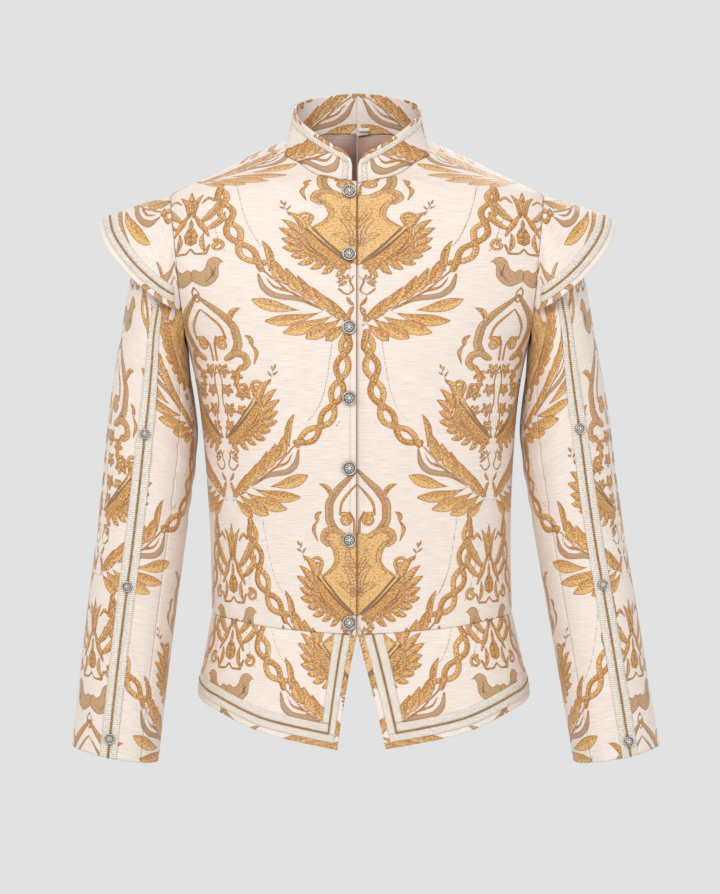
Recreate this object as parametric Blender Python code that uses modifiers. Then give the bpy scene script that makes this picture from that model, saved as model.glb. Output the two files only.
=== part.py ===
"""Brocade jacket as worn, hollow: fitted body, standing collar, shoulder wings, two-piece sleeves
and a flared peplum, trimmed with braid and cord and closed with domed buttons.

Metres, +Z up, the front faces -Y. The origin is level with the sides of the neck, on the
centre line. Every cloth piece is a grid of points on a named surface, made into a wall, and the
trim on it is made from cells of the same grid, moved out.
"""

import math

import bpy
import numpy as np
from mathutils import Vector

# Cloth and trim thicknesses
CLOTH = 0.0020
WING_CLOTH = 0.0025
COLLAR_CLOTH = 0.0026
LINING_CLOTH = 0.0010
LINING_EASE = 0.0014
LINING_TOP = 0.0020
NECK_LOOP_EASE = 0.0031
NECK_LOOP_CLOTH = 0.0010
NECK_LOOP_ANGLES = (178.0, 166.0)
NECK_LOOP_SHARES = (0.03, 0.12)
BRAID = 0.0010
CORD = 0.0015
GAP = 0.0003
TRIM_EASE = 0.00024
HALF_GAP = GAP / 2
ARMHOLE_GAP = 0.0005
EASE = 0.0013

# Trim layout: distances from a finished edge to the lines between margin, braid, cord and braid
TRIM_LINES = (0.0, 0.0065, 0.0145, 0.0166, 0.0256)
COLLAR_TRIM_LINES = (0.0, 0.0046, 0.0109, 0.0150)
COLLAR_CORNER_RADIUS = 0.0150
COLLAR_LOWER_ROWS = (0.5, 1.0)
COLLAR_LEAST_CELL = 0.004

# Body: rings squarer than an ellipse. They are level up to the shoulders and tilt forward towards
# the neck. Between the underarm and the shoulder the ring runs wider than the armhole, which is
# cut from it. A ring's height is that of its sides.
SQUARENESS = 2.5
BODY_RINGS = (
    # height, half_width, front_depth, back_depth
    (0.0400, 0.0745, 0.0350, 0.0620),
    (0.0260, 0.0760, 0.0380, 0.0640),
    (0.0040, 0.0785, 0.0430, 0.0650),
    (0.0000, 0.0940, 0.0460, 0.0675),
    (-0.0069, 0.1127, 0.0530, 0.0725),
    (-0.0253, 0.1555, 0.0715, 0.0830),
    (-0.0437, 0.1985, 0.0755, 0.0950),
    (-0.0530, 0.2145, 0.0775, 0.0985),
    (-0.0580, 0.2168, 0.0790, 0.1000),
    (-0.0726, 0.2270, 0.0835, 0.1035),
    (-0.0980, 0.2380, 0.0915, 0.1070),
    (-0.1430, 0.2345, 0.1040, 0.1115),
    (-0.1880, 0.2161, 0.1115, 0.1130),
    (-0.2134, 0.2029, 0.1145, 0.1130),
    (-0.2280, 0.1956, 0.1158, 0.1130),
    (-0.2330, 0.1940, 0.1162, 0.1130),
    (-0.2760, 0.1850, 0.1180, 0.1120),
    (-0.3220, 0.1795, 0.1180, 0.1080),
    (-0.4000, 0.1740, 0.1150, 0.1010),
    (-0.4600, 0.1720, 0.1120, 0.0970),
    (-0.5300, 0.1720, 0.1100, 0.0960),
    (-0.5700, 0.1720, 0.1100, 0.0960),
)
NECK_TILT = 0.35
TILT_FROM = -0.060
TILT_TO = -0.005
# Angles run from 0 at the centre front to 90 at the side and 180 at the centre back
NECKLINE = (
    # angle, ring_height
    (0, -0.0225),
    (30, -0.0170),
    (60, -0.0025),
    (90, 0.0030),
    (120, 0.0035),
    (150, 0.0030),
    (180, 0.0022),
)
COLLAR_TOP = (
    # angle, height, half_width, depth
    (0, -0.0120, 0.0720, 0.0640),
    (15, -0.0050, 0.0720, 0.0640),
    (40, 0.0129, 0.0720, 0.0640),
    (62, 0.0300, 0.0720, 0.0640),
    (90, 0.0485, 0.0720, 0.0640),
    (120, 0.0600, 0.0720, 0.0630),
    (150, 0.0690, 0.0720, 0.0620),
    (180, 0.0718, 0.0720, 0.0620),
)
WAIST_SEAM = (
    # angle, height
    (0, -0.5520),
    (45, -0.5440),
    (70, -0.5340),
    (90, -0.5300),
    (135, -0.5260),
    (180, -0.5250),
)
PEPLUM_DROP = (
    # angle, length of the skirt below the waist seam
    (0, 0.1300),
    (45, 0.1175),
    (70, 0.1000),
    (90, 0.0910),
    (120, 0.0960),
    (150, 0.1060),
    (180, 0.1120),
)
PEPLUM_FLARE = 0.20
PEPLUM_UPPER_ROWS = (0.36, 0.68, 1.0)
PEPLUM_LEAST_CELL = 0.010
WAIST_DEPTH = {True: 0.1100, False: 0.0960}
SHOULDER_HEIGHT = -0.0530
UNDERARM_HEIGHT = -0.2330
ARMHOLE = (
    # height, distance from the centre line
    (-0.0530, 0.2145),
    (-0.0980, 0.2085),
    (-0.1500, 0.2035),
    (-0.1875, 0.1995),
    (-0.2330, 0.1940),
)

# Front closing: the wearer's right front laps over the left one
LAP_UNDER = 0.0180
LAP_RAMP = 0.0140
LAP_EASE = 0.0018
COLLAR_START = {-1: 0.0060, 1: 0.0012}
PEPLUM_START = {-1: 0.0002, 1: 0.0010}
PEPLUM_OPENING = {-1: 0.22, 1: 0.27}
VENT_OPENING = 0.27
VENT_START = 0.0008
LAP_EDGE = 0.0010

# Sleeves: silhouette lines and sections. The sections tilt from the armhole to the cuff.
SLEEVE_OUTER_LINE = (
    # height, distance from the centre line
    (-0.0530, 0.2145),
    (-0.0770, 0.2350),
    (-0.1100, 0.2500),
    (-0.1426, 0.2600),
    (-0.1840, 0.2670),
    (-0.2380, 0.2766),
    (-0.2910, 0.2850),
    (-0.3310, 0.2900),
    (-0.3795, 0.2945),
    (-0.4600, 0.3040),
    (-0.5300, 0.3140),
    (-0.6140, 0.3250),
    (-0.6785, 0.3340),
)
SLEEVE_INNER_LINE = (
    # height, distance from the centre line
    (-0.2330, 0.1940),
    (-0.2450, 0.1940),
    (-0.2600, 0.1926),
    (-0.2800, 0.1896),
    (-0.3000, 0.1868),
    (-0.3300, 0.1845),
    (-0.3795, 0.1900),
    (-0.4267, 0.1970),
    (-0.4715, 0.2035),
    (-0.5210, 0.2110),
    (-0.6140, 0.2245),
    (-0.6980, 0.2360),
)
SLEEVE_SECTIONS = (
    # outer_height, inner_height, front_depth, back_depth, forward; the seam is above the first row
    (-0.0790, -0.2440, 0.0590, 0.0625, 0.000),
    (-0.1150, -0.2580, 0.0625, 0.0660, 0.000),
    (-0.1600, -0.2760, 0.0655, 0.0695, 0.001),
    (-0.2050, -0.2980, 0.0670, 0.0710, 0.002),
    (-0.2550, -0.3240, 0.0655, 0.0695, 0.005),
    (-0.3100, -0.3560, 0.0635, 0.0675, 0.009),
    (-0.3700, -0.3970, 0.0615, 0.0655, 0.014),
    (-0.4350, -0.4560, 0.0595, 0.0635, 0.020),
    (-0.5000, -0.5200, 0.0575, 0.0610, 0.026),
    (-0.5600, -0.5800, 0.0555, 0.0590, 0.031),
    (-0.6200, -0.6400, 0.0540, 0.0570, 0.035),
    (-0.6785, -0.6980, 0.0530, 0.0560, 0.038),
)
SLEEVE_SETTLES_AT = 2
# Sleeve head: armhole steps from the shoulder, and what holds at each
HEAD_ROOM_STEPS = (0, 3, 6, 8, 9, 10)
HEAD_OFF_STEPS = (7, 9, 10, 11)
HEAD_OFF_GAPS = (1.6, 5.0, 4.0, 3.0)
HEAD_FACING_STEPS = (4, 9)
STRIP_STATIONS = (3, 4, 5, 6)
CUFF_FRONT_DROP = 0.003
STRIP_ANGLE = {-1: 85.0, 1: 76.0}
STRIP_OFFSETS = (-0.0096, -0.00105, 0.00105, 0.0096)

# Shoulder wings: outer edge from the front end to the top, then to the back end
WING_EDGE = (
    # place, x, y, z
    (0.0, 0.1997, -0.0585, -0.1870),
    (0.2, 0.2130, -0.0735, -0.1825),
    (0.4, 0.2350, -0.0780, -0.1680),
    (0.6, 0.2640, -0.0640, -0.1415),
    (0.8, 0.2895, -0.0385, -0.1065),
    (1.0, 0.2980, 0.0040, -0.0830),
    (1.2, 0.2895, 0.0465, -0.1065),
    (1.4, 0.2640, 0.0720, -0.1415),
    (1.6, 0.2350, 0.0860, -0.1680),
    (1.8, 0.2130, 0.0815, -0.1825),
    (2.0, 0.1997, 0.0625, -0.1870),
)
WING_BULGE = 0.004
WING_END = 0.0585
WING_END_STRETCH = 1.3
WING_SPAN = 0.088
WING_TRIM_SHARE = 0.8
WING_UPPER_ROWS = (1 / 3, 2 / 3, 1.0)
WING_MIDDLE = (0.20, 0.0, -0.20)

# Buttons: radius and height of dome, and where each sits
BUTTON_RADIUS = 0.0080
BUTTON_HEIGHT = 0.0056
SLEEVE_BUTTON_RADIUS = 0.0060
SLEEVE_BUTTON_HEIGHT = 0.0046
BUTTON_LINE = -0.0086
BUTTON_HEIGHTS = (-0.0545, -0.1263, -0.2083, -0.2873, -0.3652, -0.4452, -0.5377)
SLEEVE_BUTTON_HEIGHTS = {-1: (-0.3270, -0.4988, -0.6690), 1: (-0.3213, -0.4966, -0.6720)}

# The whole garment leans a little to its left below the chest
LEAN = 0.0218
LEAN_CORE = 0.05

# Grid sizes
FRONT_COLUMNS = (5, 7)
SIDE_ROWS = 7
ARMHOLE_ROWS = 11
ARMHOLE_STEP = 180.0 / ARMHOLE_ROWS
WING_ROOT_STEPS = 5
SLEEVE_FRONT_SEAM = 8
SLEEVE_BACK_SEAM = 15
LINING_ROWS = 5
LINING_COLUMNS = 6
EVENING_ROUNDS = 14
BUTTON_STEPS = 12

SIDES = {"left": 1, "right": -1}

IVORY = (0.86, 0.74, 0.62)
GOLD = (0.62, 0.36, 0.12)
MAUVE = (0.52, 0.32, 0.28)
WHITE = (0.80, 0.77, 0.72)
SILVER = (0.55, 0.53, 0.50)


def curve(xs, ys, at):
    """Smooth interpolation through (xs, ys) that never overshoots; xs run up or down."""
    xs, ys = np.asarray(xs, float), np.asarray(ys, float)
    if xs[0] > xs[-1]:
        xs, ys = xs[::-1], ys[::-1]
    step = np.diff(xs)
    slope = np.diff(ys) / step
    tangent = np.zeros(len(xs))
    tangent[0], tangent[-1] = slope[0], slope[-1]
    same = slope[1:] * slope[:-1] > 0
    before, after = 2 * step[1:] + step[:-1], step[1:] + 2 * step[:-1]
    safe = np.where(same, slope[:-1], 1), np.where(same, slope[1:], 1)
    mean = (before + after) / (before / safe[0] + after / safe[1])
    tangent[1:-1] = np.where(same, mean, 0)
    at = np.clip(np.asarray(at, float), xs[0], xs[-1])
    k = np.clip(np.searchsorted(xs, at) - 1, 0, len(xs) - 2)
    t = (at - xs[k]) / step[k]
    return (
        (1 + 2 * t) * (1 - t) ** 2 * ys[k]
        + t * (1 - t) ** 2 * step[k] * tangent[k]
        + t * t * (3 - 2 * t) * ys[k + 1]
        - t * t * (1 - t) * step[k] * tangent[k + 1]
    )


def column(table, index):
    return [row[index] for row in table]


def read(table, index, at):
    return curve(column(table, 0), column(table, index), at)


def unit(vectors):
    length = np.linalg.norm(vectors, axis=-1, keepdims=True)
    return vectors / np.maximum(length, 1e-12)


def smooth_step(value):
    value = np.clip(value, 0, 1)
    return value * value * (3 - 2 * value)


def oval_radius(angle, half_width, front, back):
    """Distance from the centre to a squared oval in the direction of the angle in degrees."""
    turn = np.radians(angle)
    depth = np.where(np.cos(turn) > 0, front, back)
    across = np.abs(np.sin(turn) / half_width) ** SQUARENESS
    along = np.abs(np.cos(turn) / depth) ** SQUARENESS
    return (across + along) ** (-1 / SQUARENESS)


def on_oval(angle, height, half_width, front, back):
    radius = oval_radius(angle, half_width, front, back)
    turn = np.radians(angle)
    return np.stack([radius * np.sin(turn), -radius * np.cos(turn), height + 0 * turn], -1)


def ring(height):
    return [read(BODY_RINGS, k, height) for k in (1, 2, 3)]


def tilt(height):
    return NECK_TILT * smooth_step((height - TILT_FROM) / (TILT_TO - TILT_FROM))


def body_point(angle, height):
    angle, height = np.broadcast_arrays(np.asarray(angle, float), np.asarray(height, float))
    points = on_oval(angle, height, *ring(height))
    points[..., 2] += tilt(height) * points[..., 1]
    return points


def body_level(points):
    """Negative inside the body surface, 0 on it."""
    angle = np.degrees(np.arctan2(points[..., 0], -points[..., 1]))
    height = points[..., 2]
    for _ in range(12):
        height = (height + points[..., 2] - tilt(height) * points[..., 1]) / 2
    return np.hypot(points[..., 0], points[..., 1]) - oval_radius(angle, *ring(height))


def body_gradient(points):
    step = 2e-4
    parts = []
    for axis in range(3):
        shift = np.zeros(3)
        shift[axis] = step
        parts.append((body_level(points + shift) - body_level(points - shift)) / (2 * step))
    return np.stack(parts, -1)


def onto_body(points):
    """Moves points to the body surface, straight across it."""
    for _ in range(8):
        slope = body_gradient(points)
        move = body_level(points)[..., None] * slope / (slope**2).sum(-1, keepdims=True)
        points = points - np.clip(move, -0.01, 0.01)
    return points


def lengths(points):
    steps = np.linalg.norm(np.diff(points, axis=0), axis=1)
    return np.concatenate([[0], np.cumsum(steps)])


def along(points, distance):
    """Points of a polyline at these distances from its start."""
    run = lengths(points)
    return np.stack([np.interp(distance, run, points[:, k]) for k in range(3)], -1)


def spaced(points, steps):
    return along(points, np.linspace(0, lengths(points)[-1], steps + 1))


def patch(bottom, top, left, right):
    """Surface through four border lines, as a grid with bottom running along its first axis."""
    across = (lengths(bottom) / lengths(bottom)[-1] + lengths(top) / lengths(top)[-1]) / 2
    upward = (lengths(left) / lengths(left)[-1] + lengths(right) / lengths(right)[-1]) / 2
    u, v = across[:, None, None], upward[None, :, None]
    corners = (
        (1 - u) * (1 - v) * bottom[0]
        + u * (1 - v) * bottom[-1]
        + (1 - u) * v * top[0]
        + u * v * top[-1]
    )
    sides = (1 - v) * bottom[:, None] + v * top[:, None] + (1 - u) * left[None] + u * right[None]
    return sides - corners


def grid_normals(grid):
    first = np.gradient(grid, axis=0)
    second = np.gradient(grid, axis=1)
    return unit(np.cross(first, second))


def pull_in(grid, edges, amount):
    """Moves the named borders of a grid towards their neighbours by the amount."""
    grid = grid.copy()
    lines = {
        "start": (grid[0], grid[1]),
        "end": (grid[-1], grid[-2]),
        "low": (grid[:, 0], grid[:, 1]),
        "high": (grid[:, -1], grid[:, -2]),
    }
    for edge in edges:
        line, inner = lines[edge]
        line += unit(inner - line) * amount
    return grid


def leaned(points):
    points = np.array(points, float)
    x = points[..., 0]
    share = x**2 / (x**2 + LEAN_CORE**2)
    points[..., 0] = x + LEAN * np.minimum(points[..., 2], 0) ** 2 * share
    return points


def mirrored(points, side):
    return points * np.array([side, 1, 1])


def finish_material(name, colour, roughness, metallic):
    made = bpy.data.materials.new(name)
    made.use_nodes = True
    shader = made.node_tree.nodes["Principled BSDF"]
    shader.inputs["Base Color"].default_value = (*colour, 1)
    shader.inputs["Roughness"].default_value = roughness
    shader.inputs["Metallic"].default_value = metallic
    return made


def add_object(name, mesh, colour, roughness=0.7, metallic=0.0):
    made = bpy.data.objects.new(name, mesh)
    mesh.materials.append(finish_material(name, colour, roughness, metallic))
    bpy.data.collections["brocade_jacket"].objects.link(made)
    return made


def cell_triangles(i, j, rows, turned):
    a, b = i * rows + j, (i + 1) * rows + j
    if turned:
        return [(a, b, a + 1), (b, b + 1, a + 1)]
    return [(a, b, b + 1), (a, b + 1, a + 1)]


def shell(name, outer, inner, cells, colour, roughness=0.7, turned=False):
    """Closed wall between two grids over these cells, with a rim round them. Turned cells are
    split along their other diagonal."""
    columns, rows = outer.shape[:2]
    count = columns * rows
    faces = []
    edges = set()
    for i, j in cells:
        for a, b, c in cell_triangles(i, j, rows, turned):
            faces.append((a, b, c))
            faces.append((c + count, b + count, a + count))
            for edge in ((a, b), (b, c), (c, a)):
                if edge[::-1] in edges:
                    edges.remove(edge[::-1])
                else:
                    edges.add(edge)
    for a, b in sorted(edges):
        faces.append((b, a, a + count))
        faces.append((b, a + count, b + count))
    points = leaned(np.concatenate([outer.reshape(-1, 3), inner.reshape(-1, 3)]))
    corners = points[np.array(faces)]
    if np.linalg.det(corners).sum() < 0:
        faces = [face[::-1] for face in faces]
    used = sorted({k for face in faces for k in face})
    place = {k: n for n, k in enumerate(used)}
    mesh = bpy.data.meshes.new(name)
    mesh.from_pydata(
        [tuple(points[k]) for k in used], [], [tuple(place[k] for k in face) for face in faces]
    )
    return add_object(name, mesh, colour, roughness)


def all_cells(grid):
    return [(i, j) for i in range(grid.shape[0] - 1) for j in range(grid.shape[1] - 1)]


def wall(name, grid, normals, thickness, colour=IVORY, turned=False):
    inner = grid - normals * thickness
    return shell(name, grid, inner, all_cells(grid), colour, turned=turned)


def raised(name, grid, normals, cells, thickness, colour):
    """Trim made from cells of a panel: moved out, and drawn in from its neighbours."""
    held = set(cells)
    moved = grid.copy()
    for a, b in sorted({(i + m, j + n) for i, j in cells for m in (0, 1) for n in (0, 1)}):
        corners = [(m, n) for m in (-1, 0) for n in (-1, 0) if (a + m, b + n) in held]
        for axis, step in ((0, (1, 0)), (1, (0, 1))):
            sides = {corner[axis] for corner in corners}
            if len(sides) == 1:
                sign = 1 if sides == {0} else -1
                towards = grid[a + sign * step[0], b + sign * step[1]] - grid[a, b]
                moved[a, b] += unit(towards) * TRIM_EASE
    low = moved + normals * GAP
    return shell(name, low + normals * thickness, low, cells, colour, 0.6)


def body_panel(front):
    """Grid of the left front or back: first axis from the centre to the side, second upward."""
    centre = 0.0 if front else 180.0
    fine = np.linspace(0, 1, 200)
    angle = centre + (90 - centre) * fine
    waist = spaced(body_point(angle, read(WAIST_SEAM, 1, angle)), sum(FRONT_COLUMNS))
    neck = spaced(body_point(angle, read(NECKLINE, 1, angle)), FRONT_COLUMNS[0])
    neck_side = read(NECKLINE, 1, 90)
    shoulder = body_point(90, neck_side + (SHOULDER_HEIGHT - neck_side) * fine)
    shoulder = spaced(shoulder, FRONT_COLUMNS[1])
    waist_side = read(WAIST_SEAM, 1, 90)
    side = body_point(90, waist_side + (UNDERARM_HEIGHT - waist_side) * fine)
    armhole = armhole_line(front)[::-1]
    right = np.concatenate([spaced(side, SIDE_ROWS), armhole[1:]])
    low, high = read(WAIST_SEAM, 1, centre), read(NECKLINE, 1, centre)
    left = spaced(body_point(centre, low + (high - low) * fine), len(right) - 1)
    top = np.concatenate([neck, shoulder[1:]])
    grid = patch(waist, top, left, right)
    grid[1:-1, 1:-1] = onto_body(grid[1:-1, 1:-1])
    for _ in range(EVENING_ROUNDS):
        middle = (grid[:-2, 1:-1] + grid[2:, 1:-1] + grid[1:-1, :-2] + grid[1:-1, 2:]) / 4
        grid[1:-1, 1:-1] = onto_body((grid[1:-1, 1:-1] + middle) / 2)
    return grid


def armhole_line(front, steps=ARMHOLE_ROWS):
    """Armhole seam from the shoulder to the underarm, over the front or the back."""
    turn = np.radians(np.linspace(0, 180, steps + 1))
    middle = (SHOULDER_HEIGHT + UNDERARM_HEIGHT) / 2
    reach = (SHOULDER_HEIGHT - UNDERARM_HEIGHT) / 2
    height = middle + reach * np.cos(turn)
    x = read(ARMHOLE, 1, height)
    half, ahead, behind = ring(height)
    share = np.clip(x / half, 0, 1) ** SQUARENESS
    depth = np.maximum(1 - share, 0) ** (1 / SQUARENESS) * (ahead if front else behind)
    depth[[0, -1]] = 0
    y = -depth if front else depth
    return np.stack([x, y, height + tilt(height) * y], -1)


def lap_depth(points):
    """How far the wearer's left front lies under the right one, by distance from the edge."""
    return (CLOTH + LAP_EASE) * (1 - smooth_step((points[..., 0] - LAP_EDGE) / LAP_RAMP))


def lap_under(points, side, front=True):
    if side < 0 or not front:
        return points
    return points - unit(body_gradient(points)) * lap_depth(points)[..., None]


def make_body():
    """The two fronts and two backs."""
    grids = {}
    panels = {front: body_panel(front) for front in (True, False)}
    for word, side in SIDES.items():
        for place, front in (("front", True), ("back", False)):
            grid = panels[front]
            edges = ["low", "high", "end"] + ([] if front else ["start"])
            if front and side > 0:
                reach = np.minimum(LAP_UNDER / grid[1, :, :1], 1)
                under = mirrored(grid[0] + (grid[1] - grid[0]) * reach, -1)
                grid = np.concatenate([under[None], grid])
            grid = lap_under(grid, side, front)
            normals = unit(body_gradient(grid))
            grid = pull_in(grid, edges, HALF_GAP)
            grid, normals = mirrored(grid, side), mirrored(normals, side)
            wall(f"{place}_{word}", grid, normals, CLOTH, turned=True)
            grids[place, word] = grid, normals
    return grids


def make_lining(grids):
    """Back lining inside the neck, joined at the centre back."""
    for word in SIDES:
        grid, normals = grids["back", word]
        rows = slice(-LINING_ROWS - 1, None)
        grid, normals = grid[: LINING_COLUMNS + 1, rows], normals[: LINING_COLUMNS + 1, rows]
        grid = pull_in(grid - normals * (CLOTH + LINING_EASE), ["high"], LINING_TOP)
        wall(f"back_lining_{word}", grid, normals, LINING_CLOTH, MAUVE, turned=True)


def collar_lines(side):
    """Base and top lines of half a collar, from its front edge to the centre back."""
    angle = np.linspace(0, 180, 721)
    base = body_point(angle, read(NECKLINE, 1, angle))
    front_steps = spaced(base[:361], FRONT_COLUMNS[0])
    back_steps = spaced(base[360:], FRONT_COLUMNS[0])
    base = lap_under(np.concatenate([front_steps, back_steps[1:]]), side)
    height, half, depth = (read(COLLAR_TOP, k, angle) for k in (1, 2, 3))
    top = on_oval(angle, height, half, depth, depth)
    return base, top


def rounded(across, down):
    """Moves a place near the front top corner so that lines parallel to the edge turn round it."""
    radius = COLLAR_CORNER_RADIUS
    if across >= radius or down >= radius:
        return across, down
    near = min(across, down)
    turn = math.radians(45) * (radius - max(across, down)) / max(radius - near, 1e-9)
    far, close = radius - (radius - near) * math.sin(turn), radius - (radius - near) * math.cos(turn)
    return (close, far) if across <= down else (far, close)


def collar_grid(side):
    """Half a collar: first axis from the front edge to the centre back, second from top to seam."""
    base, top = collar_lines(side)
    run, top_run = lengths(base), lengths(top)
    start = COLLAR_START[side]
    rows = list(COLLAR_TRIM_LINES)
    stops = [start + line for line in rows]
    stops += [value for value in run[1:] if value > stops[-1] + COLLAR_LEAST_CELL]

    def upright(place):
        low = along(base, place)
        return low, along(top, place / run[-1] * top_run[-1])

    grid = np.zeros((len(stops), len(rows) + len(COLLAR_LOWER_ROWS), 3))
    for i, stop in enumerate(stops):
        low, high = upright(stop)
        rest = np.linalg.norm(high - low) - rows[-1]
        downs = rows + [rows[-1] + rest * share for share in COLLAR_LOWER_ROWS]
        for j, down in enumerate(downs):
            across, deep = rounded(stop - start, down)
            low, high = upright(start + across)
            grid[i, j] = high + (low - high) * min(deep / np.linalg.norm(high - low), 1)
    normals = grid_normals(grid)
    normals *= np.sign((normals * grid * np.array([1, 1, 0])).sum(-1, keepdims=True))
    normals[-1, :, 0] = 0
    normals = unit(normals)
    normals[:, -1] = unit(normals[:, -1] + unit(body_gradient(grid[:, -1])))
    return grid, normals


def make_collar():
    for word, side in SIDES.items():
        grid, normals = collar_grid(side)
        grid = pull_in(grid, ["high", "end"], HALF_GAP)
        grid, normals = mirrored(grid, side), mirrored(normals, side)
        wall(f"collar_{word}", grid, normals, COLLAR_CLOTH)
        cells = [(1, j) for j in range(1, grid.shape[1] - 1)]
        cells += [(i, 1) for i in range(2, grid.shape[0] - 1)]
        raised(f"collar_braid_{word}", grid, normals, cells, BRAID, WHITE)


def peplum_point(angle, drop):
    """Place on the flared skirt, this far below the waist seam."""
    top = body_point(angle, read(WAIST_SEAM, 1, angle))
    outward = unit(body_gradient(top) * np.array([1, 1, 0]))
    down = np.array([0, 0, -1.0])
    return top + np.asarray(drop)[..., None] * (down + PEPLUM_FLARE * outward)


def peplum_normal(angle, drop):
    step = 0.2
    first = peplum_point(angle + step, drop) - peplum_point(angle - step, drop)
    second = peplum_point(angle, drop + 1e-3) - peplum_point(angle, drop - 1e-3)
    return unit(np.cross(second, first))


def peplum_grid(front, side):
    """Angles and drops of one skirt piece: from its free edge to the side, and from hem to waist."""
    centre = 0.0 if front else 180.0
    slope = PEPLUM_OPENING[side] if front else VENT_OPENING
    start = PEPLUM_START[side] if front else VENT_START
    fine = np.linspace(centre, 90, 721)
    waist_fine = body_point(fine, read(WAIST_SEAM, 1, fine))
    run = lengths(waist_fine)
    stations = np.linspace(0, run[-1], sum(FRONT_COLUMNS) + 1)
    chords = along(waist_fine, stations)
    wide = math.hypot(1, slope)
    free = [start + line * wide for line in TRIM_LINES]
    beyond = [value for value in stations if value > free[-1] + PEPLUM_LEAST_CELL]
    station_angles = np.interp(beyond, run, fine)

    def angle_at(column, drop):
        if column < len(free):
            reach = free[column] + slope * drop
            depth = WAIST_DEPTH[front] + PEPLUM_FLARE * drop
            turn = math.degrees(math.atan2(reach, depth))
            return turn if front else 180 - turn
        last = angle_at(len(free) - 1, drop)
        first = angle_at(len(free) - 1, 0)
        share = (station_angles[column - len(free)] - first) / (90 - first)
        return last + (90 - last) * share

    columns = len(free) + len(beyond)
    rows = len(TRIM_LINES) + len(PEPLUM_UPPER_ROWS)
    angles, drops = np.zeros((columns, rows)), np.zeros((columns, rows))
    for i in range(columns):
        for j in range(rows):
            drop = 0.1
            for _ in range(6):
                angle = angle_at(i, drop)
                length = float(read(PEPLUM_DROP, 1, angle))
                if j < len(TRIM_LINES):
                    drop = length - TRIM_LINES[j]
                else:
                    share = PEPLUM_UPPER_ROWS[j - len(TRIM_LINES)]
                    drop = (length - TRIM_LINES[-1]) * (1 - share)
            angles[i, j], drops[i, j] = angle, drop
    grid = peplum_point(angles, drops)
    normals = peplum_normal(angles, drops)
    for i in range(columns):
        if i < len(free):
            grid[i, -1] = along(chords, free[i])
        else:
            grid[i, -1] = along(chords, beyond[i - len(free)])
    normals[:, -1] = unit(body_gradient(grid[:, -1]))
    if front and side > 0:
        grid -= normals * lap_depth(grid)[..., None]
    return grid, normals, angles, drops


def trim_cells(columns, rows, line):
    """Cells of the band beside this trim line, up the free edge and along the hem."""
    upright = [(line, j) for j in range(line, rows)]
    return upright + [(i, line) for i in range(line + 1, columns)]


def make_peplum():
    for word, side in SIDES.items():
        for place, front in (("front", True), ("back", False)):
            grid, normals, _, _ = peplum_grid(front, side)
            grid = pull_in(grid, ["high", "end"], HALF_GAP)
            grid, normals = mirrored(grid, side), mirrored(normals, side)
            name = f"peplum_{place}_{word}"
            wall(name, grid, normals, CLOTH)
            columns, rows = grid.shape[0] - 1, grid.shape[1] - 1
            trims = (("braid_outer", 1, BRAID), ("cord", 2, CORD), ("braid_inner", 3, BRAID))
            for trim, line, thick in trims:
                colour = GOLD if trim == "cord" else WHITE
                cells = trim_cells(columns, rows, line)
                raised(f"{name}_{trim}", grid, normals, cells, thick, colour)


def armhole_loop():
    """The whole armhole seam of the left side, from the shoulder round the front to the back."""
    front, back = armhole_line(True), armhole_line(False)
    return np.concatenate([front, back[-2:0:-1]])


def seam_directions(loop):
    """The body's normals along the armhole, and the direction across the seam away from it."""
    normals = unit(body_gradient(loop))
    tangent = unit(np.roll(loop, -1, axis=0) - np.roll(loop, 1, axis=0))
    across = unit(np.cross(normals, tangent))
    across *= np.sign((across * np.array([1.0, 0, 0])).sum(-1, keepdims=True))
    return normals, across


def sleeve_start():
    """For each armhole station: how far below the seam the sleeve starts, to leave room for the
    wing, how far it stands off the seam, and how far its edge faces as the body does."""
    steps = np.array([min(k, 2 * ARMHOLE_ROWS - k) for k in range(2 * ARMHOLE_ROWS)])
    under = WING_CLOTH + GAP
    low = under + EASE
    depth = np.interp(steps, HEAD_ROOM_STEPS, (under, low, low, low, -2 * GAP, -2 * GAP))
    apart = np.interp(steps, HEAD_OFF_STEPS, HEAD_OFF_GAPS) * ARMHOLE_GAP
    share = np.interp(steps, HEAD_FACING_STEPS, (1, 0))
    return depth[:, None], apart[:, None], share[:, None]


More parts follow.
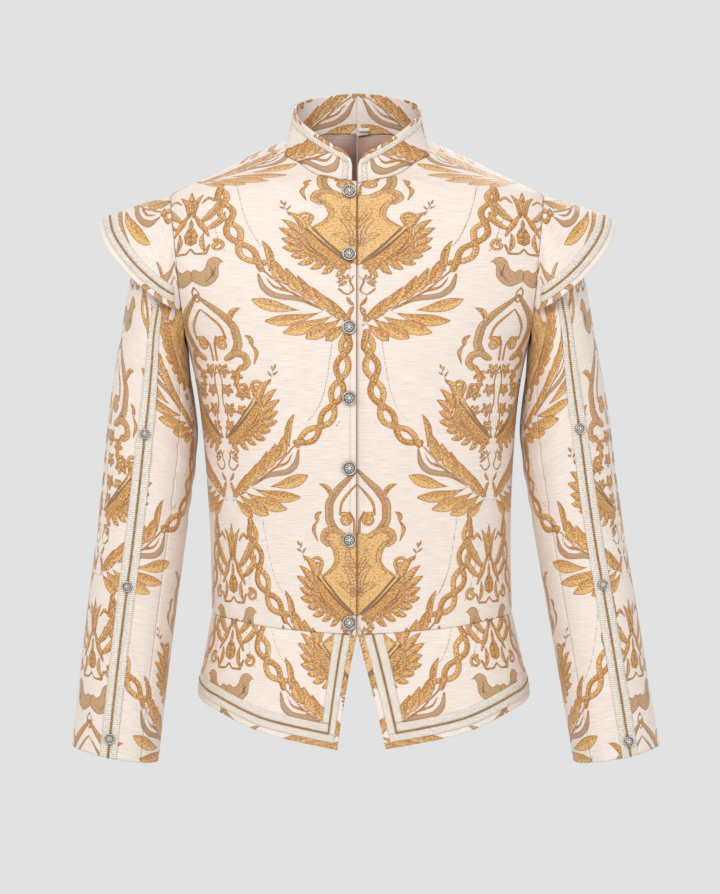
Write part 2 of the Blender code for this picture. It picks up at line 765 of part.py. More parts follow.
def sleeve_rings(side):
    """Grid of a whole sleeve: first axis round it from the top, second from the seam down."""
    loop = armhole_loop()
    normals, across = seam_directions(loop)
    depth, apart, share = sleeve_start()
    first = loop + across * apart - normals * depth
    count = len(loop)
    even = np.arange(count + 1) * ARMHOLE_STEP
    grid = np.zeros((count, len(SLEEVE_SECTIONS) + 1, 3))
    grid[:, 0] = first
    for row, (outer_z, inner_z, front, back, forward) in enumerate(SLEEVE_SECTIONS, start=1):
        outer = np.array([float(read(SLEEVE_OUTER_LINE, 1, outer_z)), -forward, outer_z])
        inner = np.array([float(read(SLEEVE_INNER_LINE, 1, inner_z)), -forward, inner_z])
        fine = np.radians(np.linspace(0, 360, 1441))
        depth = np.where(np.sin(fine) > 0, front, back)
        section = (outer + inner) / 2 + np.cos(fine)[:, None] * (outer - inner) / 2
        section[:, 1] -= np.sin(fine) * depth
        if row == len(SLEEVE_SECTIONS):
            section[:, 2] -= CUFF_FRONT_DROP * np.maximum(np.sin(fine), 0)
        run = lengths(section)
        at = np.interp(np.radians(even), fine, run)
        strip = np.interp(math.radians(STRIP_ANGLE[side]), fine, run)
        marks = [0, *STRIP_STATIONS, SLEEVE_FRONT_SEAM, ARMHOLE_ROWS, SLEEVE_BACK_SEAM, count]
        values = [0] + [strip + offset for offset in STRIP_OFFSETS]
        values += [at[SLEEVE_FRONT_SEAM], at[ARMHOLE_ROWS], at[SLEEVE_BACK_SEAM], run[-1]]
        wanted = np.interp(np.arange(count + 1), marks, values)
        settled = smooth_step(row / SLEEVE_SETTLES_AT)
        place = at + (wanted - at) * settled
        grid[:, row] = along(section, place[:-1])
    closed = np.concatenate([grid[-1:], grid, grid[:1]])
    around = unit(np.cross(np.gradient(closed, axis=0), np.gradient(closed, axis=1)))[1:-1]
    middle = grid.mean(axis=0, keepdims=True)
    around *= np.sign((around * (grid - middle)).sum(-1, keepdims=True))
    around[:, 0] = unit(normals * share + around[:, 0] * (1 - share))
    return grid, around


def make_sleeves():
    strips = {}
    count = 2 * ARMHOLE_ROWS
    for word, side in SIDES.items():
        grid, normals = sleeve_rings(side)
        pieces = {
            "upper": [k % count for k in range(SLEEVE_BACK_SEAM, count + SLEEVE_FRONT_SEAM + 1)],
            "under": list(range(SLEEVE_FRONT_SEAM, SLEEVE_BACK_SEAM + 1)),
        }
        for piece, order in pieces.items():
            part = pull_in(grid[order], ["start", "end"], 2 * HALF_GAP)
            wall(f"sleeve_{piece}_{word}", mirrored(part, side), mirrored(normals[order], side), CLOTH)
        order = list(STRIP_STATIONS)
        part, facing = mirrored(grid[order], side), mirrored(normals[order], side)
        rows = range(SLEEVE_SETTLES_AT, grid.shape[1] - 1)
        trims = (("braid_outer", 0, BRAID), ("cord", 1, CORD), ("braid_inner", 2, BRAID))
        for trim, line, thick in trims:
            colour = GOLD if trim == "cord" else WHITE
            cells = [(line, j) for j in rows]
            raised(f"sleeve_{trim}_{word}", part, facing, cells, thick, colour)
        strips[word] = part, facing
    return strips


def wing_grid():
    """Grid of the left wing: first axis from the front end over the top, second from edge to root."""
    loop = armhole_loop()
    count = len(loop)
    normals, across = seam_directions(loop)
    seam = loop + across * ARMHOLE_GAP
    order = [k / 2 for k in range(2 * WING_ROOT_STEPS, -2 * WING_ROOT_STEPS - 1, -1)]
    halves = [(math.floor(k) % count, math.ceil(k) % count) for k in order]
    root = np.array([(seam[a] + seam[b]) / 2 for a, b in halves])
    root_normals = unit(np.array([normals[a] + normals[b] for a, b in halves]))
    places = np.linspace(0, 2, len(order))
    edge = np.stack([read(WING_EDGE, k, places) for k in (1, 2, 3)], -1)
    lines = list(TRIM_LINES)
    grid = np.zeros((len(order), len(lines) + len(WING_UPPER_ROWS), 3))
    for i in range(len(order)):
        if i in (0, len(order) - 1):
            down = 1 if i == 0 else -1
            path = np.array([seam[(int(order[i]) + down * k) % count] for k in range(4)])
            stops = [line * WING_END_STRETCH for line in lines]
            stops += [stops[-1] + (WING_END - stops[-1]) * share for share in WING_UPPER_ROWS]
            grid[i] = along(path, WING_END - np.array(stops))
            continue
        span = np.linalg.norm(root[i] - edge[i])
        bulge = WING_BULGE * span / WING_SPAN
        fine = np.linspace(0, 1, 60)[:, None]
        line = edge[i] + (root[i] - edge[i]) * fine
        line = line + root_normals[i] * bulge * np.sin(np.pi * fine)
        total = lengths(line)[-1]
        squeeze = min(1.0, WING_TRIM_SHARE * total / lines[-1])
        stops = [value * squeeze for value in lines]
        stops += [stops[-1] + (total - stops[-1]) * share for share in WING_UPPER_ROWS]
        grid[i] = along(line, stops)
    facing = grid_normals(grid)
    facing *= np.sign((facing * (grid - np.array(WING_MIDDLE))).sum(-1, keepdims=True))
    facing[:, -1] = root_normals
    facing[0] = unit(body_gradient(grid[0]))
    facing[-1] = unit(body_gradient(grid[-1]))
    return grid, facing


def make_wings():
    for word, side in SIDES.items():
        grid, normals = wing_grid()
        grid = pull_in(grid, ["start", "end"], GAP)
        grid, normals = mirrored(grid, side), mirrored(normals, side)
        wall(f"wing_{word}", grid, normals, WING_CLOTH)
        trims = (("braid_outer", 1, BRAID), ("cord", 2, CORD), ("braid_inner", 3, BRAID))
        for trim, line, thick in trims:
            colour = GOLD if trim == "cord" else WHITE
            cells = [(i, line) for i in range(1, grid.shape[0] - 2)]
            raised(f"wing_{trim}_{word}", grid, normals, cells, thick, colour)


def button_mesh(radius, height):
    """Domed button with a rim, as a profile for a Screw modifier round Z."""
    profile = (
        (0.0, height),
        (0.55 * radius, 0.86 * height),
        (0.80 * radius, 0.55 * height),
        (radius, 0.42 * height),
        (radius, 0.12 * height),
        (0.75 * radius, 0.0),
        (0.0, 0.0),
    )
    mesh = bpy.data.meshes.new("button_profile")
    points = [(across, 0, up) for across, up in profile]
    mesh.from_pydata(points, [(k, k + 1) for k in range(len(points) - 1)], [])
    return mesh


def add_button(name, place, facing, radius, height):
    made = add_object(name, button_mesh(radius, height), SILVER, 0.35, 1.0)
    turned = made.modifiers.new("turned", "SCREW")
    turned.steps = turned.render_steps = BUTTON_STEPS
    turned.use_merge_vertices = True
    turned.merge_threshold = 1e-5
    turned.use_normal_calculate = True
    made.location = place
    made.rotation_mode = "QUATERNION"
    made.rotation_quaternion = Vector(facing).to_track_quat("Z", "Y")


def make_buttons(strips):
    for number, height in enumerate(BUTTON_HEIGHTS, start=1):
        spot = body_point(math.degrees(math.atan2(BUTTON_LINE, 0.1)), height)
        spot = onto_body(np.array([BUTTON_LINE, spot[1], height]))
        facing = unit(body_gradient(spot))
        place = leaned(spot + facing * GAP)
        add_button(f"front_button_{number}", place, facing, BUTTON_RADIUS, BUTTON_HEIGHT)
    for word, side in SIDES.items():
        grid, normals = strips[word]
        middle, facings = grid[1:3].mean(axis=0), normals[1:3].mean(axis=0)
        for number, height in enumerate(SLEEVE_BUTTON_HEIGHTS[side], start=1):
            order = np.argsort(middle[:, 2])
            spot = np.array([np.interp(height, middle[order, 2], middle[order, k]) for k in range(3)])
            facing = np.array(
                [np.interp(height, middle[order, 2], facings[order, k]) for k in range(3)]
            )
            place = leaned(spot + unit(facing) * (2 * GAP + CORD))
            name = f"sleeve_button_{word}_{number}"
            add_button(name, place, unit(facing), SLEEVE_BUTTON_RADIUS, SLEEVE_BUTTON_HEIGHT)


def make_neck_loop():
    """Plain bar at the centre back, inside the collar just above its seam."""
    angle = np.array(NECK_LOOP_ANGLES)
    rows = []
    for share in NECK_LOOP_SHARES:
        low = body_point(angle, read(NECKLINE, 1, angle))
        height, half, depth = (read(COLLAR_TOP, k, angle) for k in (1, 2, 3))
        high = on_oval(angle, height, half, depth, depth)
        rows.append(low + (high - low) * share)
    grid = np.stack(rows, 1)
    outward = unit(grid * np.array([1, 1, 0]))
    grid = grid - outward * (COLLAR_CLOTH + NECK_LOOP_EASE)
    wall("neck_loop", grid, outward, NECK_LOOP_CLOTH, WHITE)


def main():
    for old in list(bpy.data.objects):
        bpy.data.objects.remove(old, do_unlink=True)
    collection = bpy.data.collections.new("brocade_jacket")
    bpy.context.scene.collection.children.link(collection)
    grids = make_body()
    make_lining(grids)
    make_collar()
    make_peplum()
    strips = make_sleeves()
    make_wings()
    make_buttons(strips)
    make_neck_loop()


main()
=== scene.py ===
"""Looks of the brocade jacket: fine cloth over the solids, its woven pattern, braid, cord, buttons,
studio light and camera.

The numbers and functions of the jacket's form are those of the solids. The pattern is drawn as a
small repeat of leaves, ropes, curls and birds, and kept with the cloth's points.
"""

import math

import bmesh
import bpy
import numpy as np
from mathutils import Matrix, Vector


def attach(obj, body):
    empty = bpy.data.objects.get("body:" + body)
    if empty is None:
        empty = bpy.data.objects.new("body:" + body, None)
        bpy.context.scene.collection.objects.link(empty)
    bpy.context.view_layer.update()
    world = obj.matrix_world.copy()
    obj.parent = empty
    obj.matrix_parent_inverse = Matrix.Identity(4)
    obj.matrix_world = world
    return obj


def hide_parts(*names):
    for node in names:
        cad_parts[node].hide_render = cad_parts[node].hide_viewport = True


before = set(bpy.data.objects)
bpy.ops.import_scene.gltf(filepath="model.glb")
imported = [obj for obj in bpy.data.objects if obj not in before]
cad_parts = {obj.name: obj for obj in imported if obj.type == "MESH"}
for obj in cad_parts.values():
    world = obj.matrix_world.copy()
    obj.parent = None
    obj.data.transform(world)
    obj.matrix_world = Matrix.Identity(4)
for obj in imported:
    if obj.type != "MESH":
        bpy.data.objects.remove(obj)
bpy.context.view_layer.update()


# Cloth and trim thicknesses
CLOTH = 0.0020
WING_CLOTH = 0.0025
COLLAR_CLOTH = 0.0026
LINING_CLOTH = 0.0010
LINING_EASE = 0.0014
LINING_TOP = 0.0020
NECK_LOOP_EASE = 0.0031
NECK_LOOP_CLOTH = 0.0010
NECK_LOOP_ANGLES = (178.0, 166.0)
NECK_LOOP_SHARES = (0.03, 0.12)
BRAID = 0.0010
CORD = 0.0015
GAP = 0.0003
HALF_GAP = GAP / 2
ARMHOLE_GAP = 0.0005
EASE = 0.0013

# Trim layout: distances from a finished edge to the lines between margin, braid, cord and braid
TRIM_LINES = (0.0, 0.0065, 0.0145, 0.0166, 0.0256)
COLLAR_TRIM_LINES = (0.0, 0.0046, 0.0109, 0.0150)
COLLAR_CORNER_RADIUS = 0.0150
COLLAR_LOWER_ROWS = (0.5, 1.0)
COLLAR_LEAST_CELL = 0.004

# Body: rings squarer than an ellipse. They are level up to the shoulders and tilt forward towards
# the neck. Between the underarm and the shoulder the ring runs wider than the armhole, which is
# cut from it. A ring's height is that of its sides.
SQUARENESS = 2.5
BODY_RINGS = (
    # height, half_width, front_depth, back_depth
    (0.0400, 0.0745, 0.0350, 0.0620),
    (0.0260, 0.0760, 0.0380, 0.0640),
    (0.0040, 0.0785, 0.0430, 0.0650),
    (0.0000, 0.0940, 0.0460, 0.0675),
    (-0.0069, 0.1127, 0.0530, 0.0725),
    (-0.0253, 0.1555, 0.0715, 0.0830),
    (-0.0437, 0.1985, 0.0755, 0.0950),
    (-0.0530, 0.2145, 0.0775, 0.0985),
    (-0.0580, 0.2168, 0.0790, 0.1000),
    (-0.0726, 0.2270, 0.0835, 0.1035),
    (-0.0980, 0.2380, 0.0915, 0.1070),
    (-0.1430, 0.2345, 0.1040, 0.1115),
    (-0.1880, 0.2161, 0.1115, 0.1130),
    (-0.2134, 0.2029, 0.1145, 0.1130),
    (-0.2280, 0.1956, 0.1158, 0.1130),
    (-0.2330, 0.1940, 0.1162, 0.1130),
    (-0.2760, 0.1850, 0.1180, 0.1120),
    (-0.3220, 0.1795, 0.1180, 0.1080),
    (-0.4000, 0.1740, 0.1150, 0.1010),
    (-0.4600, 0.1720, 0.1120, 0.0970),
    (-0.5300, 0.1720, 0.1100, 0.0960),
    (-0.5700, 0.1720, 0.1100, 0.0960),
)
NECK_TILT = 0.35
TILT_FROM = -0.060
TILT_TO = -0.005

# Angles run from 0 at the centre front to 90 at the side and 180 at the centre back
NECKLINE = (
    # angle, ring_height
    (0, -0.0225),
    (30, -0.0170),
    (60, -0.0025),
    (90, 0.0030),
    (120, 0.0035),
    (150, 0.0030),
    (180, 0.0022),
)
COLLAR_TOP = (
    # angle, height, half_width, depth
    (0, -0.0120, 0.0720, 0.0640),
    (15, -0.0050, 0.0720, 0.0640),
    (40, 0.0129, 0.0720, 0.0640),
    (62, 0.0300, 0.0720, 0.0640),
    (90, 0.0485, 0.0720, 0.0640),
    (120, 0.0600, 0.0720, 0.0630),
    (150, 0.0690, 0.0720, 0.0620),
    (180, 0.0718, 0.0720, 0.0620),
)
WAIST_SEAM = (
    # angle, height
    (0, -0.5520),
    (45, -0.5440),
    (70, -0.5340),
    (90, -0.5300),
    (135, -0.5260),
    (180, -0.5250),
)
PEPLUM_DROP = (
    # angle, length of the skirt below the waist seam
    (0, 0.1300),
    (45, 0.1175),
    (70, 0.1000),
    (90, 0.0910),
    (120, 0.0960),
    (150, 0.1060),
    (180, 0.1120),
)
PEPLUM_FLARE = 0.20
PEPLUM_UPPER_ROWS = (0.36, 0.68, 1.0)
PEPLUM_LEAST_CELL = 0.010
WAIST_DEPTH = {True: 0.1100, False: 0.0960}
SHOULDER_HEIGHT = -0.0530
UNDERARM_HEIGHT = -0.2330
ARMHOLE = (
    # height, distance from the centre line
    (-0.0530, 0.2145),
    (-0.0980, 0.2085),
    (-0.1500, 0.2035),
    (-0.1875, 0.1995),
    (-0.2330, 0.1940),
)

# Front closing: the wearer's right front laps over the left one
LAP_UNDER = 0.0180
LAP_RAMP = 0.0140
LAP_EASE = 0.0018
COLLAR_START = {-1: 0.0060, 1: 0.0012}
PEPLUM_START = {-1: 0.0002, 1: 0.0010}
PEPLUM_OPENING = {-1: 0.22, 1: 0.27}
VENT_OPENING = 0.27
VENT_START = 0.0008
LAP_EDGE = 0.0010

# Sleeves: silhouette lines and sections. The sections tilt from the armhole to the cuff.
SLEEVE_OUTER_LINE = (
    # height, distance from the centre line
    (-0.0530, 0.2145),
    (-0.0770, 0.2350),
    (-0.1100, 0.2500),
    (-0.1426, 0.2600),
    (-0.1840, 0.2670),
    (-0.2380, 0.2766),
    (-0.2910, 0.2850),
    (-0.3310, 0.2900),
    (-0.3795, 0.2945),
    (-0.4600, 0.3040),
    (-0.5300, 0.3140),
    (-0.6140, 0.3250),
    (-0.6785, 0.3340),
)
SLEEVE_INNER_LINE = (
    # height, distance from the centre line
    (-0.2330, 0.1940),
    (-0.2450, 0.1940),
    (-0.2600, 0.1926),
    (-0.2800, 0.1896),
    (-0.3000, 0.1868),
    (-0.3300, 0.1845),
    (-0.3795, 0.1900),
    (-0.4267, 0.1970),
    (-0.4715, 0.2035),
    (-0.5210, 0.2110),
    (-0.6140, 0.2245),
    (-0.6980, 0.2360),
)
SLEEVE_SECTIONS = (
    # outer_height, inner_height, front_depth, back_depth, forward; the seam is above the first row
    (-0.0790, -0.2440, 0.0590, 0.0625, 0.000),
    (-0.1150, -0.2580, 0.0625, 0.0660, 0.000),
    (-0.1600, -0.2760, 0.0655, 0.0695, 0.001),
    (-0.2050, -0.2980, 0.0670, 0.0710, 0.002),
    (-0.2550, -0.3240, 0.0655, 0.0695, 0.005),
    (-0.3100, -0.3560, 0.0635, 0.0675, 0.009),
    (-0.3700, -0.3970, 0.0615, 0.0655, 0.014),
    (-0.4350, -0.4560, 0.0595, 0.0635, 0.020),
    (-0.5000, -0.5200, 0.0575, 0.0610, 0.026),
    (-0.5600, -0.5800, 0.0555, 0.0590, 0.031),
    (-0.6200, -0.6400, 0.0540, 0.0570, 0.035),
    (-0.6785, -0.6980, 0.0530, 0.0560, 0.038),
)
SLEEVE_SETTLES_AT = 2

# Sleeve head: armhole steps from the shoulder, and what holds at each
HEAD_ROOM_STEPS = (0, 3, 6, 8, 9, 10)
HEAD_OFF_STEPS = (7, 9, 10, 11)
HEAD_OFF_GAPS = (1.6, 5.0, 4.0, 3.0)
HEAD_FACING_STEPS = (4, 9)
STRIP_STATIONS = (3, 4, 5, 6)
CUFF_FRONT_DROP = 0.003
STRIP_ANGLE = {-1: 85.0, 1: 76.0}
STRIP_OFFSETS = (-0.0096, -0.00105, 0.00105, 0.0096)

# Shoulder wings: outer edge from the front end to the top, then to the back end
WING_EDGE = (
    # place, x, y, z
    (0.0, 0.1997, -0.0585, -0.1870),
    (0.2, 0.2130, -0.0735, -0.1825),
    (0.4, 0.2350, -0.0780, -0.1680),
    (0.6, 0.2640, -0.0640, -0.1415),
    (0.8, 0.2895, -0.0385, -0.1065),
    (1.0, 0.2980, 0.0040, -0.0830),
    (1.2, 0.2895, 0.0465, -0.1065),
    (1.4, 0.2640, 0.0720, -0.1415),
    (1.6, 0.2350, 0.0860, -0.1680),
    (1.8, 0.2130, 0.0815, -0.1825),
    (2.0, 0.1997, 0.0625, -0.1870),
)
WING_BULGE = 0.004
WING_END = 0.0585
WING_END_STRETCH = 1.3
WING_SPAN = 0.088
WING_TRIM_SHARE = 0.8
WING_UPPER_ROWS = (1 / 3, 2 / 3, 1.0)
WING_MIDDLE = (0.20, 0.0, -0.20)

# Buttons: radius and height of dome, and where each sits
BUTTON_RADIUS = 0.0080
BUTTON_HEIGHT = 0.0056
SLEEVE_BUTTON_RADIUS = 0.0060
SLEEVE_BUTTON_HEIGHT = 0.0046
BUTTON_LINE = -0.0086
BUTTON_HEIGHTS = (-0.0545, -0.1263, -0.2083, -0.2873, -0.3652, -0.4452, -0.5377)
SLEEVE_BUTTON_HEIGHTS = {-1: (-0.3270, -0.4988, -0.6690), 1: (-0.3213, -0.4966, -0.6720)}

# The whole garment leans a little to its left below the chest
LEAN = 0.0218
LEAN_CORE = 0.05

# Grid sizes
FRONT_COLUMNS = (5, 7)
SIDE_ROWS = 7
ARMHOLE_ROWS = 11
ARMHOLE_STEP = 180.0 / ARMHOLE_ROWS
WING_ROOT_STEPS = 5
SLEEVE_FRONT_SEAM = 8
SLEEVE_BACK_SEAM = 15
LINING_ROWS = 5
LINING_COLUMNS = 6
EVENING_ROUNDS = 14
SIDES = {"left": 1, "right": -1}

# Spacing of the dressed cloth's points, and steps of the part under the lap
BODY_SPACINGS = {"front": 0.0015, "back": 0.0026}
LINING_SPACING = 0.005
COLLAR_SPACING = 0.0016
PEPLUM_SPACING = 0.0017
SLEEVE_SPACING = 0.0021
TRIM_SPACING = 0.0018
UNDERLAP_STEPS = 6

# Turned edges of the cloth, crown of the braids and links of the cord
ROLL_DEPTH = 0.0007
ROLL_REACH = 0.0028
BRAID_CROWN = 0.35
LINK_STEP = 0.0024
LINK_SIZE = 0.00165
LINK_LEAN = 0.55
LINK_LIFT = 0.0007

# Pattern values of plain cloth: outside every figure, and far from an edge
BARE = -9.0
FAR = 99.0

# Colours of lap edge (brown edging with painted shadow of the overlap), lining, braid (with painted shade
# in its hollows), cord, buttons, floor and backdrop
LAP_BROWN_AND_SHADOW = (0.26, 0.12, 0.06)
SATIN_DEEP = (0.47, 0.29, 0.25)
SATIN_LIGHT = (0.57, 0.37, 0.32)
SATIN_STREAK = (0.40, 0.24, 0.20)
BRAID_LIGHT = (0.900, 0.835, 0.755)
BRAID_DEEP = (0.820, 0.755, 0.675)
BRAID_HOLLOW_SHADE = (0.42, 0.35, 0.27)
CORD_DEEP = (0.235, 0.115, 0.028)
CORD_LIGHT = (0.52, 0.30, 0.085)
SILVER_STAIN = (0.085, 0.070, 0.058)
SILVER_LIGHT = (0.66, 0.64, 0.60)
FLOOR_DEEP = (0.74, 0.74, 0.74)
FLOOR_LIGHT = (0.77, 0.77, 0.77)
BACKDROP = (0.755, 0.760, 0.765)

# Floor and camera sensor
FLOOR_RADIUS = 2.6
SENSOR_HEIGHT = 36.0

# Pattern chart in millimetres, its size in steps, and the figures drawn on it
COLUMN = 150.0
REPEAT = 394.0
CHART_STEP = 0.75
CHART_LEFT, CHART_TOP = -190.0, -60.0
CHART_SIZE = (507, 694)
LEAF_GAP = 0.9
# Ropes run from the joining point of a column out to the spray of the next one
ROPES = {
    False: [(9, 6), (13, 34), (17, 60), (23, 84), (34, 106), (50, 122), (66, 132)],
    True: [(27, 20), (31, 48), (36, 74), (44, 98), (57, 118), (70, 130)],
}
ROPE_TURN = 29.0
SIDE_LINES = {False: 13.5, True: 15.5}
SIDE_LINE_LEAST = 16.0
SPRAY = (
    # base x, base y, tip x, tip y, width, bend, tone: chain of leaves, then the fan below it
    (143, 190, 120, 162, 13.0, 0.10, 0.50),
    (127, 177, 108, 151, 12.5, 0.10, 0.56),
    (113, 168, 98, 140, 12.5, 0.10, 0.48),
    (100, 159, 88, 131, 12.0, 0.08, 0.56),
    (87, 149, 77, 121, 11.5, 0.06, 0.50),
    (73, 134, 66, 98, 7.5, -0.10, 0.44),
    (99, 179, 55, 167, 14.0, 0.05, 0.62),
    (119, 180, 64, 191, 13.0, 0.06, 0.56),
    (129, 184, 80, 204, 14.0, 0.05, 0.64),
    (137, 187, 101, 210, 14.0, 0.04, 0.58),
    (142, 193, 120, 213, 10.5, 0.0, 0.52),
)
SPRAY_CHAIN = 6
SHIELD = [
    (0, 231), (11, 232), (24, 228), (33, 232), (31, 243), (25, 252), (24, 262), (28, 271),
    (36, 277), (43, 278), (33, 291), (20, 306), (9, 317), (0, 325),
]
CLUMP = (
    # base x, base y, tip x, tip y, width, bend: leaves round the shield's foot, from the top down
    (48, 284, 62, 256, 8.5, 0.16),
    (52, 289, 67, 267, 8.0, 0.12),
    (53, 295, 70, 279, 8.5, 0.10),
    (53, 302, 67, 292, 8.0, 0.08),
    (50, 308, 66, 303, 8.5, 0.04),
    (45, 313, 58, 313, 8.0, -0.04),
    (38, 317, 52, 323, 8.0, -0.08),
    (30, 320, 41, 329, 7.5, -0.10),
    (22, 323, 31, 335, 7.5, -0.12),
    (12, 326, 19, 338, 6.5, -0.12),
)

# Where the pattern lies on the body
PATTERN_LEVEL = -0.2070
YOKE_LEVEL = -0.0980
YOKE_SLOPE = 0.8

# Colours of the brocade
IVORY_LIGHT = (0.805, 0.715, 0.650)
IVORY_DEEP = (0.705, 0.600, 0.525)
GOLD_LIGHT = (0.770, 0.500, 0.215)
GOLD_MID = (0.570, 0.290, 0.085)
GOLD_DEEP = (0.340, 0.130, 0.030)
BROWN = (0.170, 0.085, 0.045)
TAUPE = (0.400, 0.265, 0.165)

# Camera, height of the photo's view and floor level, in metres
CAMERA_DISTANCE = 3.6
CAMERA_X = 0.00345
CAMERA_Z = -0.3416
PHOTO_HEIGHT = 1.0281
FLOOR_LEVEL = -1.45

# Where the pattern lies on collar, skirt, sleeves and wings
COLLAR_PATTERN = (50.0, 130.0)
COLLAR_ACROSS = 0.80
PEPLUM_PATTERN_STEP = 75.0
SLEEVE_PATTERN_LEVEL = 0.096
SLEEVE_AXIS = (
    # depth below the neck, share of the way round from the top
    (0.05, 0.19, 0.42, 0.53, 0.63, 0.70),
    (0.03, 0.05, 0.085, 0.11, 0.14, 0.16),
)
WING_PATTERN = (105.0, 214.0)

# Creases of the sleeves, in metres
SLEEVE_CREASES = (
    # x, z, reach_x, reach_z, slant, depth
    (0.205, -0.335, 0.030, 0.010, 0.9, 0.0026),
    (0.212, -0.372, 0.030, 0.009, 0.7, 0.0022),
    (0.216, -0.300, 0.028, 0.012, 1.2, 0.0026),
    (0.208, -0.410, 0.026, 0.009, 0.4, 0.0014),
)


def curve(xs, ys, at):
    """Smooth interpolation through (xs, ys) that never overshoots; xs run up or down."""
    xs, ys = np.asarray(xs, float), np.asarray(ys, float)
    if xs[0] > xs[-1]:
        xs, ys = xs[::-1], ys[::-1]
    step = np.diff(xs)
    slope = np.diff(ys) / step
    tangent = np.zeros(len(xs))
    tangent[0], tangent[-1] = slope[0], slope[-1]
    same = slope[1:] * slope[:-1] > 0
    before, after = 2 * step[1:] + step[:-1], step[1:] + 2 * step[:-1]
    safe = np.where(same, slope[:-1], 1), np.where(same, slope[1:], 1)
    mean = (before + after) / (before / safe[0] + after / safe[1])
    tangent[1:-1] = np.where(same, mean, 0)
    at = np.clip(np.asarray(at, float), xs[0], xs[-1])
    k = np.clip(np.searchsorted(xs, at) - 1, 0, len(xs) - 2)
    t = (at - xs[k]) / step[k]
    return (
        (1 + 2 * t) * (1 - t) ** 2 * ys[k]
        + t * (1 - t) ** 2 * step[k] * tangent[k]
        + t * t * (3 - 2 * t) * ys[k + 1]
        - t * t * (1 - t) * step[k] * tangent[k + 1]
    )


def column(table, index):
    return [row[index] for row in table]


def read(table, index, at):
    return curve(column(table, 0), column(table, index), at)


def unit(vectors):
    length = np.linalg.norm(vectors, axis=-1, keepdims=True)
    return vectors / np.maximum(length, 1e-12)


def smooth_step(value):
    value = np.clip(value, 0, 1)
    return value * value * (3 - 2 * value)


def oval_radius(angle, half_width, front, back):
    """Distance from the centre to a squared oval in the direction of the angle in degrees."""
    turn = np.radians(angle)
    depth = np.where(np.cos(turn) > 0, front, back)
    across = np.abs(np.sin(turn) / half_width) ** SQUARENESS
    along = np.abs(np.cos(turn) / depth) ** SQUARENESS
    return (across + along) ** (-1 / SQUARENESS)


def on_oval(angle, height, half_width, front, back):
    radius = oval_radius(angle, half_width, front, back)
    turn = np.radians(angle)
    return np.stack([radius * np.sin(turn), -radius * np.cos(turn), height + 0 * turn], -1)


def ring(height):
    return [read(BODY_RINGS, k, height) for k in (1, 2, 3)]


def tilt(height):
    return NECK_TILT * smooth_step((height - TILT_FROM) / (TILT_TO - TILT_FROM))


def body_point(angle, height):
    angle, height = np.broadcast_arrays(np.asarray(angle, float), np.asarray(height, float))
    points = on_oval(angle, height, *ring(height))
    points[..., 2] += tilt(height) * points[..., 1]
    return points


def body_level(points):
    """Negative inside the body surface, 0 on it."""
    angle = np.degrees(np.arctan2(points[..., 0], -points[..., 1]))
    height = points[..., 2]
    for _ in range(12):
        height = (height + points[..., 2] - tilt(height) * points[..., 1]) / 2
    return np.hypot(points[..., 0], points[..., 1]) - oval_radius(angle, *ring(height))


def body_gradient(points):
    step = 2e-4
    parts = []
    for axis in range(3):
        shift = np.zeros(3)
        shift[axis] = step
        parts.append((body_level(points + shift) - body_level(points - shift)) / (2 * step))
    return np.stack(parts, -1)


def onto_body(points):
    """Moves points to the body surface, straight across it."""
    for _ in range(8):
        slope = body_gradient(points)
        move = body_level(points)[..., None] * slope / (slope**2).sum(-1, keepdims=True)
        points = points - np.clip(move, -0.01, 0.01)
    return points


def lengths(points):
    steps = np.linalg.norm(np.diff(points, axis=0), axis=1)
    return np.concatenate([[0], np.cumsum(steps)])


def along(points, distance):
    """Points of a polyline at these distances from its start."""
    run = lengths(points)
    return np.stack([np.interp(distance, run, points[:, k]) for k in range(3)], -1)


def spaced(points, steps):
    return along(points, np.linspace(0, lengths(points)[-1], steps + 1))


def patch(bottom, top, left, right):
    """Surface through four border lines, as a grid with bottom running along its first axis."""
    across = (lengths(bottom) / lengths(bottom)[-1] + lengths(top) / lengths(top)[-1]) / 2
    upward = (lengths(left) / lengths(left)[-1] + lengths(right) / lengths(right)[-1]) / 2
    u, v = across[:, None, None], upward[None, :, None]
    corners = (
        (1 - u) * (1 - v) * bottom[0]
        + u * (1 - v) * bottom[-1]
        + (1 - u) * v * top[0]
        + u * v * top[-1]
    )
    sides = (1 - v) * bottom[:, None] + v * top[:, None] + (1 - u) * left[None] + u * right[None]
    return sides - corners


def grid_normals(grid):
    first = np.gradient(grid, axis=0)
    second = np.gradient(grid, axis=1)
    return unit(np.cross(first, second))


def pull_in(grid, edges, amount):
    """Moves the named borders of a grid towards their neighbours by the amount."""
    grid = grid.copy()
    lines = {
        "start": (grid[0], grid[1]),
        "end": (grid[-1], grid[-2]),
        "low": (grid[:, 0], grid[:, 1]),
        "high": (grid[:, -1], grid[:, -2]),
    }
    for edge in edges:
        line, inner = lines[edge]
        line += unit(inner - line) * amount
    return grid


def leaned(points):
    points = np.array(points, float)
    x = points[..., 0]
    share = x**2 / (x**2 + LEAN_CORE**2)
    points[..., 0] = x + LEAN * np.minimum(points[..., 2], 0) ** 2 * share
    return points


def mirrored(points, side):
    return points * np.array([side, 1, 1])


